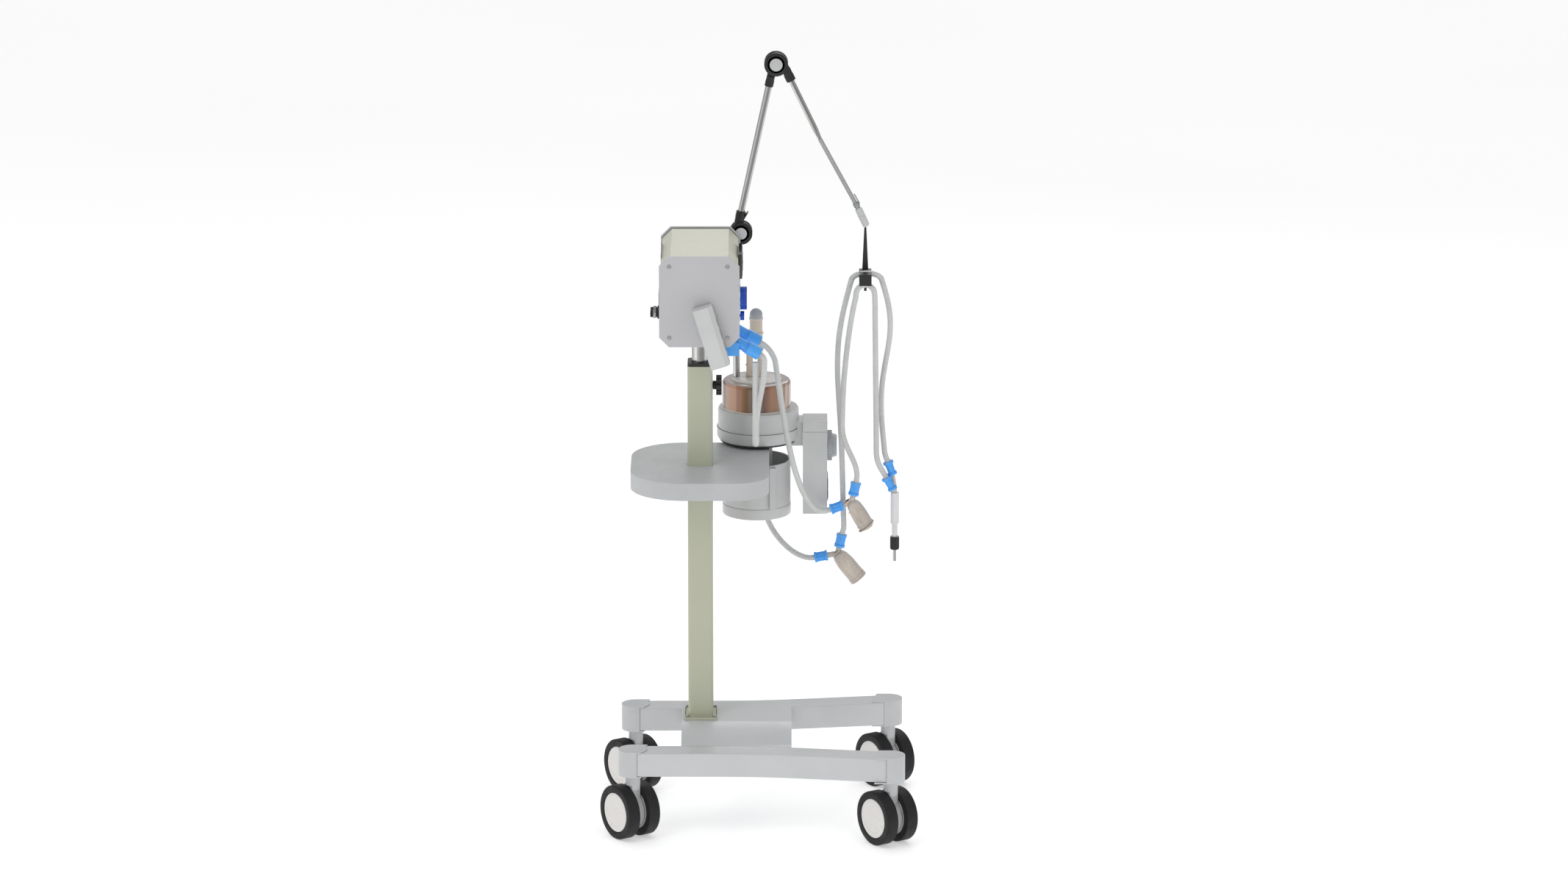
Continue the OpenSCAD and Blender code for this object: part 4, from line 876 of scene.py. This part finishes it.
fkc, pkc, hkc = cen("flow_knob"), cen("pressure_knob"), cen("heat_knob")
ticks("flow_scale", (fp1.x - 0.0001, fkc.y, fkc.z), 0.0275, 0.0315, 21, -45, 225, "head", "membrane")
ticks("pressure_scale", (fp1.x - 0.0001, pkc.y, pkc.z), 0.0118, 0.0130, 13, 200, 340, "head", "membrane", 0.0006)
for nm, node, r, body in (("flow_pointer", "flow_knob", 0.012, "flow_knob"), ("pressure_pointer", "pressure_knob", 0.003, "pressure_knob"), ("heat_pointer", "heat_knob", 0.012, "heat_knob")):
    c, h = cen(node), hi(node)
    put(box_piece(nm, (h.x - 0.0008, c.y - 0.0009, c.z + r), (h.x + 0.0003, c.y + 0.0009, c.z + (0.009 if node == "pressure_knob" else 0.024)), M["white_ink"], 0.0002), body, "lid_pale" if node == "heat_knob" else "membrane")
# gasket lines where the side plates meet the shell
sh0, sh1 = lo("shell"), hi("shell")


def octo_loop(x0, x1_, z0, z1, c):
    return [(x0 + c, z0), (x1_ - c, z0), (x1_, z0 + c), (x1_, z1 - c), (x1_ - c, z1), (x0 + c, z1), (x0, z1 - c), (x0, z0 + c)]


def octo_band(nm, y, w, grow, mat, body, slot_):
    a = octo_loop(sh0.x - grow, sh1.x + grow, sh0.z - grow, sh1.z + grow, 0.022)
    b = octo_loop(sh0.x + 0.002, sh1.x - 0.002, sh0.z + 0.002, sh1.z - 0.002, 0.022)
    vs, fs = [], []
    for yy in (y - w / 2, y + w / 2):
        vs += [Vector((x, yy, z)) for x, z in a] + [Vector((x, yy, z)) for x, z in b]
    for k in range(8):
        k2 = (k + 1) % 8
        fs += [(k, k2, 16 + k2, 16 + k), (8 + k, 24 + k, 24 + k2, 8 + k2), (k, 8 + k, 8 + k2, k2), (16 + k, 16 + k2, 24 + k2, 24 + k)]
    put(obj(nm, vs, fs, mat, False), body, slot_)


octo_band("gasket_near", sh0.y + 0.0012, 0.0022, 0.0006, M["dark_seam_and_shade"], "head", "black_plastic")
octo_band("gasket_far", sh1.y - 0.0012, 0.0022, 0.0006, M["dark_seam_and_shade"], "head", "black_plastic")
# rear vents, drawn as dark strips that are painted shade standing in for the hollow of the slots, and gas inlet nuts
rp0, rp1 = lo("rear_panel"), hi("rear_panel")
for i in range(9):
    z = sh0.z + 0.150 + i * 0.0045
    put(box_piece(f"rear_vent_shade_{i + 1}", (sh0.x - 0.0007, -0.07, z), (sh0.x + 0.0006, 0.07, z + 0.0018), M["dark_seam_and_shade"], 0.0003), "head", "black_plastic")
for i, y in enumerate((-0.070, -0.035)):
    vs_prof = [(0.0082, -0.004), (0.0102, -0.003), (0.0102, 0.003), (0.0082, 0.004), (0.0082, -0.004)]
    put(lathe(f"inlet_nut_{i + 1}", vs_prof, (rp0.x + 0.010, y, 1.200), (1, 0, 0), M["steel"], 6), "head", "steel")
# dark inserts of the tilting bracket
q17 = Matrix.Rotation(math.radians(-17), 3, "Y")
pv = Vector((-0.120, 0, 1.226))
for i, z in enumerate((-0.094, -0.064, -0.034)):
    put(box_piece(f"bracket_insert_{i + 1}", (pv.x + 0.0100, -0.1706, pv.z + z), (pv.x + 0.0144, -0.1664, pv.z + z + 0.018), M["black_plastic"], 0.0004, q17, pv), "side_bracket", "black_plastic")

# ------------------------------------------------------------------ humidifier
hc = cen("chamber"); hx, hy = hc.x, hc.y
cz0, cz1 = lo("chamber").z, hi("chamber").z
# a raised ring round the chamber's lower wall, coloured pale as a painted reflection along its foot
put(lathe("chamber_base_sheen_ring", [(0.0765, 0.0145), (0.0797, 0.0145), (0.0800, 0.0152), (0.0800, 0.0178), (0.0795, 0.0186), (0.0765, 0.0186), (0.0765, 0.0145)], (hx, hy, cz0), (0, 0, 1), M["lid_pale"], 96), "trolley", "lid_pale")
put(lathe("chamber_water", [(0, 0), (0.0745, 0), (0.0745, 0.034), (0.073, 0.0352), (0, 0.0352)], (hx, hy, cz0 + 0.0045), (0, 0, 1), clear("water_tint", srgb(150, 96, 66), 0.08, 0.6), 64), "trolley", "copper_tint")
lz = hi("chamber_lid").z
put(lathe("lid_rib_outer", [(0.0485, 0), (0.0510, 0), (0.0506, 0.0012), (0.0489, 0.0012), (0.0485, 0)], (hx, hy, lz - 0.0004), (0, 0, 1), M["lid_pale"], 72), "trolley", "lid_pale")
put(lathe("lid_rim", [(0.0560, -0.004), (0.0585, -0.004), (0.0585, -0.0012), (0.0560, 0.0), (0.0560, -0.004)], (hx, hy, lz - 0.0012), (0, 0, 1), M["lid_pale"], 72), "trolley", "lid_pale")
hb0, hb1 = lo("heater_base"), hi("heater_base")
for k, (w0, w1) in enumerate(((0.0, 0.0012),)):
    put(lathe("heater_seam", [(0.0936, 0.0286), (0.0952, 0.0286), (0.0952, 0.0294), (0.0936, 0.0294), (0.0936, 0.0286)], (hx + 0.004, hy, hb0.z + 0.0114), (0, 0, 1), M["dark_seam_and_shade"], 128), "trolley", "black_plastic")
# a dark ring just under the heater base: painted shade standing in for the shadow in the gap above the tray
put(lathe("heater_gap_shade", [(0.078, -0.003), (0.088, -0.003), (0.0885, -0.0024), (0.0885, 0.001), (0.078, 0.001), (0.078, -0.003)], (hx + 0.004, hy, 0.8414), (0, 0, 1), M["dark_seam_and_shade"], 96), "trolley", "black_plastic")
# tower fittings
tw = cen("chamber_tower")
put(lathe("tower_collar", [(0.0142, 0), (0.0165, 0.0004), (0.0165, 0.0034), (0.0142, 0.004), (0.0142, 0)], (hx - 0.001, hy, 1.121), (0, 0, 1), M["fork_plastic"], 48), "trolley", "fork_plastic")
put(lathe("tower_collar_low", [(0.0142, 0), (0.0172, 0.0004), (0.0172, 0.0054), (0.0142, 0.006), (0.0142, 0)], (hx - 0.001, hy, 1.086), (0, 0, 1), M["clear_rib"], 48), "trolley", "tube_beige")
for i, (dx, r) in enumerate(((-0.016, 0.0076), (0.008, 0.006))):
    for j, z in enumerate((0.989, 1.012, 1.047)):
        put(lathe(f"riser_ring_{i + 1}_{j + 1}", [(r - 0.0004, 0), (r + 0.0018, 0.0003), (r + 0.0018, 0.0037), (r - 0.0004, 0.004), (r - 0.0004, 0)], (hx + dx, hy, z), (0, 0, 1), M["clear_rib"], 40), "trolley", "tube_beige")
pr = cen("probe_rod")
put(lathe("probe_head", [(0, 0), (0.0088, 0), (0.0088, 0.008), (0.0076, 0.0095), (0, 0.0095)], (pr.x, pr.y, hi("probe_rod").z - 0.010), (0, 0, 1), M["black_plastic"], 40), "trolley", "black_plastic")
# control box: screen, keys, display bars, printed scale round the heat knob
b0, b1 = lo("box_display"), hi("box_display")
put(box_piece("box_screen", (b1.x - 0.0003, b0.y + 0.005, b0.z + 0.012), (b1.x + 0.0003, b1.y - 0.005, b1.z - 0.005), M["display_blue"], 0.0002), "trolley", "display_blue")
for i in range(3):
    y = b0.y + 0.014 + i * 0.018
    put(lathe(f"box_key_{i + 1}", [(0, 0), (0.004, 0), (0.0036, 0.0009), (0, 0.0011)], (b1.x, y, b0.z + 0.006), (1, 0, 0), M["knob_grey"], 28), "trolley", "knob_grey")
for j in range(3):
    put(box_piece(f"box_bar_{j + 1}", (b1.x + 0.0002, b0.y + 0.010, b0.z + 0.018 + j * 0.009), (b1.x + 0.0006, b0.y + 0.020 + j * 0.012, b0.z + 0.022 + j * 0.009), M["trace_green"], 0.0001), "trolley", "display_blue")
ticks("heat_scale", (hi("control_box").x - 0.0006, hkc.y, hkc.z), 0.0355, 0.0385, 21, -45, 225, "trolley", "lid_pale")
# knurls round the heat dial
for nm, node, R, n, x0_, x1_, body, mt in (("heat_grip", "heat_knob", 0.0345, 40, 0.0012, 0.0106, "heat_knob", "knob_grey"),):
    c = Vector((0.150, cen(node).y, cen(node).z)); vs, fs = [], []
    for i in range(n):
        a = 2 * math.pi * i / n; dr, tr = Vector((0, math.cos(a), math.sin(a))), Vector((0, -math.sin(a), math.cos(a))); b = len(vs)
        for x in (x0_, x1_):
            for rad_, sg in ((R - 0.0006, -1), (R - 0.0006, 1), (R + 0.0008, 0.5), (R + 0.0008, -0.5)):
                vs.append(c + Vector((x, 0, 0)) + dr * rad_ + tr * (sg * 0.0012))
        fs += [(b, b + 3, b + 2, b + 1), (b + 4, b + 5, b + 6, b + 7)] + [(b + k, b + (k + 1) % 4, b + 4 + (k + 1) % 4, b + 4 + k) for k in range(4)]
    put(obj(nm, vs, fs, M[mt], False), body, mt)

# ------------------------------------------------------------------ circuit fittings
cvs, cadj, ccomps = points("connectors")
single = [c for c in ccomps if len(c) < 1.5 * min(len(q) for q in ccomps)]
CONN = []
for k_, c in enumerate(single):
    mid_, ax_, len_ = long_axis(cvs, c)
    if abs(len_ - 0.030) < 0.012: CONN.append((f"c{k_ + 1}", mid_, ax_, min(len_, 0.030), 0.0096, 0.0096))
for nm, c, d, L, r1, r2 in CONN:
    _, u, v = frame_of(d)
    for k in range(8):
        an = 2 * math.pi * k / 8; dr = u * math.cos(an) + v * math.sin(an); tr = d.cross(dr); vs = []
        for z in (-L / 2 + 0.004, L / 2 - 0.004):
            rr = r2 + (r1 - r2) * (z + L / 2) / L
            for ro, w in ((rr - 0.0004, 0.0014), (rr - 0.0004, -0.0014), (rr + 0.0014, -0.0008), (rr + 0.0014, 0.0008)):
                vs.append(c + d * z + dr * ro + tr * w)
        put(obj(f"grip_{nm}_{k + 1}", vs, [(0, 3, 2, 1), (4, 5, 6, 7)] + [(q, (q + 1) % 4, 4 + (q + 1) % 4, 4 + q) for q in range(4)], M["sky_plastic"], False), "circuit", "sky_plastic")
# V ribs on the traps' near and far faces, and necks of the wye
tvs, tadj, tcomps = points("water_traps")
for k_, c in enumerate(sorted(tcomps, key=lambda c: -max(tvs[i].z for i in c))):
    r = 0.019 if k_ == 0 else 0.0205
    yc = (min(tvs[i].y for i in c) + max(tvs[i].y for i in c)) / 2
    low = sorted(c, key=lambda i: tvs[i].z)
    # the body's axis: a given tilt for each trap, set across by the corners near its far end
    a_ = math.radians(30.5 if k_ == 0 else 39)
    d = Vector((math.sin(a_), 0, -math.cos(a_)))
    acr = d.cross(Vector((0, 1, 0)))
    reach = max((tvs[i]).dot(d) for i in c)
    tail = [tvs[i] for i in c if tvs[i].dot(d) > reach - 0.030]
    off0 = (min(t.dot(acr) for t in tail) + max(t.dot(acr) for t in tail)) / 2
    L = 0.073 if k_ == 0 else 0.077
    p = d * (reach - L) + acr * off0 + Vector((0, yc, 0))
    side = Vector((0, 1, 0))
    for s in (-1, 1):
        for w in (-1, 1):
            pts = []
            for i in range(15):
                t = i / 14; z = 0.020 + t * (L - 0.036); off = w * (0.0085 * (1 - t) + 0.0006)
                rr = r * (0.93 + 0.07 * min(1, z / 0.034))
                y = math.sqrt(max(0, rr * rr - off * off))
                pts.append(p + d * z + acr * off + side * (s * (y - 0.0003)))
            put(tube(f"trap{k_ + 1}_rib_{'n' if s < 0 else 'f'}{'a' if w < 0 else 'b'}", pts, lambda i, n: 0.0011 * (1 - 0.6 * i / (n - 1)), M["clear_rib"], 8), "circuit", "trap")
    put(lathe(f"trap{k_ + 1}_base_ring", [(r - 0.0008, 0), (r + 0.0010, 0.0004), (r + 0.0010, 0.0030), (r - 0.0008, 0.0034), (r - 0.0008, 0)], p + d * (L - (0.016 if k_ == 0 else 0.0045)), d, M["trap"], 56), "circuit", "trap")
    put(lathe(f"trap{k_ + 1}_shoulder", [(r * 0.45 - 0.0006, 0), (r * 0.45 + 0.0014, 0.0003), (r * 0.60 + 0.0012, 0.003), (r * 0.60 - 0.0004, 0.0034), (r * 0.45 - 0.0006, 0)], p - d * 0.0006, d, M["clear_rib"], 48), "circuit", "trap")
pe = hi("patient_end").z
put(tube("wye_neck", catmull([(0.2975, 0.139, 0.7400), (0.3010, 0.140, 0.7330), (0.3040, 0.140, 0.7270)], 6), lambda i, n: 0.0062, M["clear_rib"], 24), "circuit", "trap")
put(tube("wye_link", catmull([(0.2995, 0.149, 0.7680), (0.3030, 0.146, 0.7540), (0.3065, 0.141, 0.7300)], 6), lambda i, n: 0.0045, M["clear_rib"], 20), "circuit", "trap")
for i in range(10):
    a = 2 * math.pi * i / 10
    c = Vector((0.305, 0.140, 0.6075)); dr = Vector((math.cos(a), math.sin(a), 0)); tr = Vector((-math.sin(a), math.cos(a), 0)); vs = []
    for z in (-0.013, 0.013):
        for ro, w in ((0.0096, 0.0012), (0.0096, -0.0012), (0.0106, -0.0008), (0.0106, 0.0008)):
            vs.append(c + Vector((0, 0, z)) + dr * ro + tr * w)
    put(obj(f"ring_rib_{i + 1}", vs, [(0, 3, 2, 1), (4, 5, 6, 7)] + [(q, (q + 1) % 4, 4 + (q + 1) % 4, 4 + q) for q in range(4)], M["black_plastic"], False), "circuit", "black_plastic")

# ------------------------------------------------------------------ stage, light, camera
fl = bpy.data.meshes.new("floor")
R = 60
fl.from_pydata([(-R, -R, 0), (R, -R, 0), (R, R, 0), (-R, R, 0)], [], [(0, 1, 2, 3)])
floor = bpy.data.objects.new("floor", fl); bpy.context.scene.collection.objects.link(floor)
floor.location.z = CAD[0][2] - 0.0005
ft = Tree("floor_pale")
ft.l(ft.mix(ft.rng(ft.noise(0.6, 2), 0, 1), (0.93, 0.93, 0.93), (0.95, 0.95, 0.95)), ft.p.inputs["Base Color"])
ft.p.inputs["Roughness"].default_value = 0.9
ft.p.inputs["Emission Color"].default_value = (1, 1, 1, 1)
ft.p.inputs["Emission Strength"].default_value = 0.42
fl.materials.append(ft.m)

w = bpy.data.worlds.new("studio"); bpy.context.scene.world = w; w.use_nodes = True
wt = w.node_tree
bg = wt.nodes["Background"]; bg.inputs[0].default_value = (1, 1, 1, 1); bg.inputs[1].default_value = 1.0
bg2 = wt.nodes.new("ShaderNodeBackground"); bg2.inputs[1].default_value = 0.52
gr = wt.nodes.new("ShaderNodeTexCoord"); sp = wt.nodes.new("ShaderNodeSeparateXYZ"); wt.links.new(gr.outputs["Generated"], sp.inputs[0])
cr_ = wt.nodes.new("ShaderNodeMapRange"); cr_.inputs["From Min"].default_value = -0.2; cr_.inputs["From Max"].default_value = 0.9
cr_.inputs["To Min"].default_value = 0.55; cr_.inputs["To Max"].default_value = 1.25
wt.links.new(sp.outputs[2], cr_.inputs["Value"]); wt.links.new(cr_.outputs[0], bg2.inputs[0])
lp = wt.nodes.new("ShaderNodeLightPath"); mx = wt.nodes.new("ShaderNodeMixShader")
wt.links.new(lp.outputs["Is Camera Ray"], mx.inputs[0]); wt.links.new(bg2.outputs[0], mx.inputs[1]); wt.links.new(bg.outputs[0], mx.inputs[2])
wt.links.new(mx.outputs[0], wt.nodes["World Output"].inputs[0])


def area(name, loc, target, size, power):
    L = bpy.data.lights.new(name, "AREA"); L.shape = "RECTANGLE"; L.size = size[0]; L.size_y = size[1]; L.energy = power
    o = bpy.data.objects.new(name, L); bpy.context.scene.collection.objects.link(o)
    o.location = loc; o.rotation_euler = (Vector(target) - Vector(loc)).to_track_quat("-Z", "Y").to_euler()
    return o


mid = (Vector(CAD[0]) + Vector(CAD[1])) / 2
area("key", (-2.6, -3.2, 4.4), mid, (2.2, 2.2), 46)
area("fill", (4.2, -2.6, 2.4), mid, (2.4, 3.0), 16)
area("back", (1.0, 4.2, 3.6), mid, (3.0, 2.0), 34)

e = math.radians(14.8)
tgt = Vector((0.0508, -0.022, 0.8914)); D = 17.0
cam = bpy.data.cameras.new("cam"); co = bpy.data.objects.new("cam", cam); bpy.context.scene.collection.objects.link(co)
cam.sensor_width = 36; cam.lens = 10200 / 2133 * 36; cam.clip_end = 200
co.location = tgt + Vector((0, -D * math.cos(e), D * math.sin(e)))
co.rotation_euler = (tgt - co.location).to_track_quat("-Z", "Y").to_euler()
bpy.context.scene.camera = co
bpy.context.scene.view_settings.view_transform = "Standard"
bpy.context.scene.view_settings.look = "None"
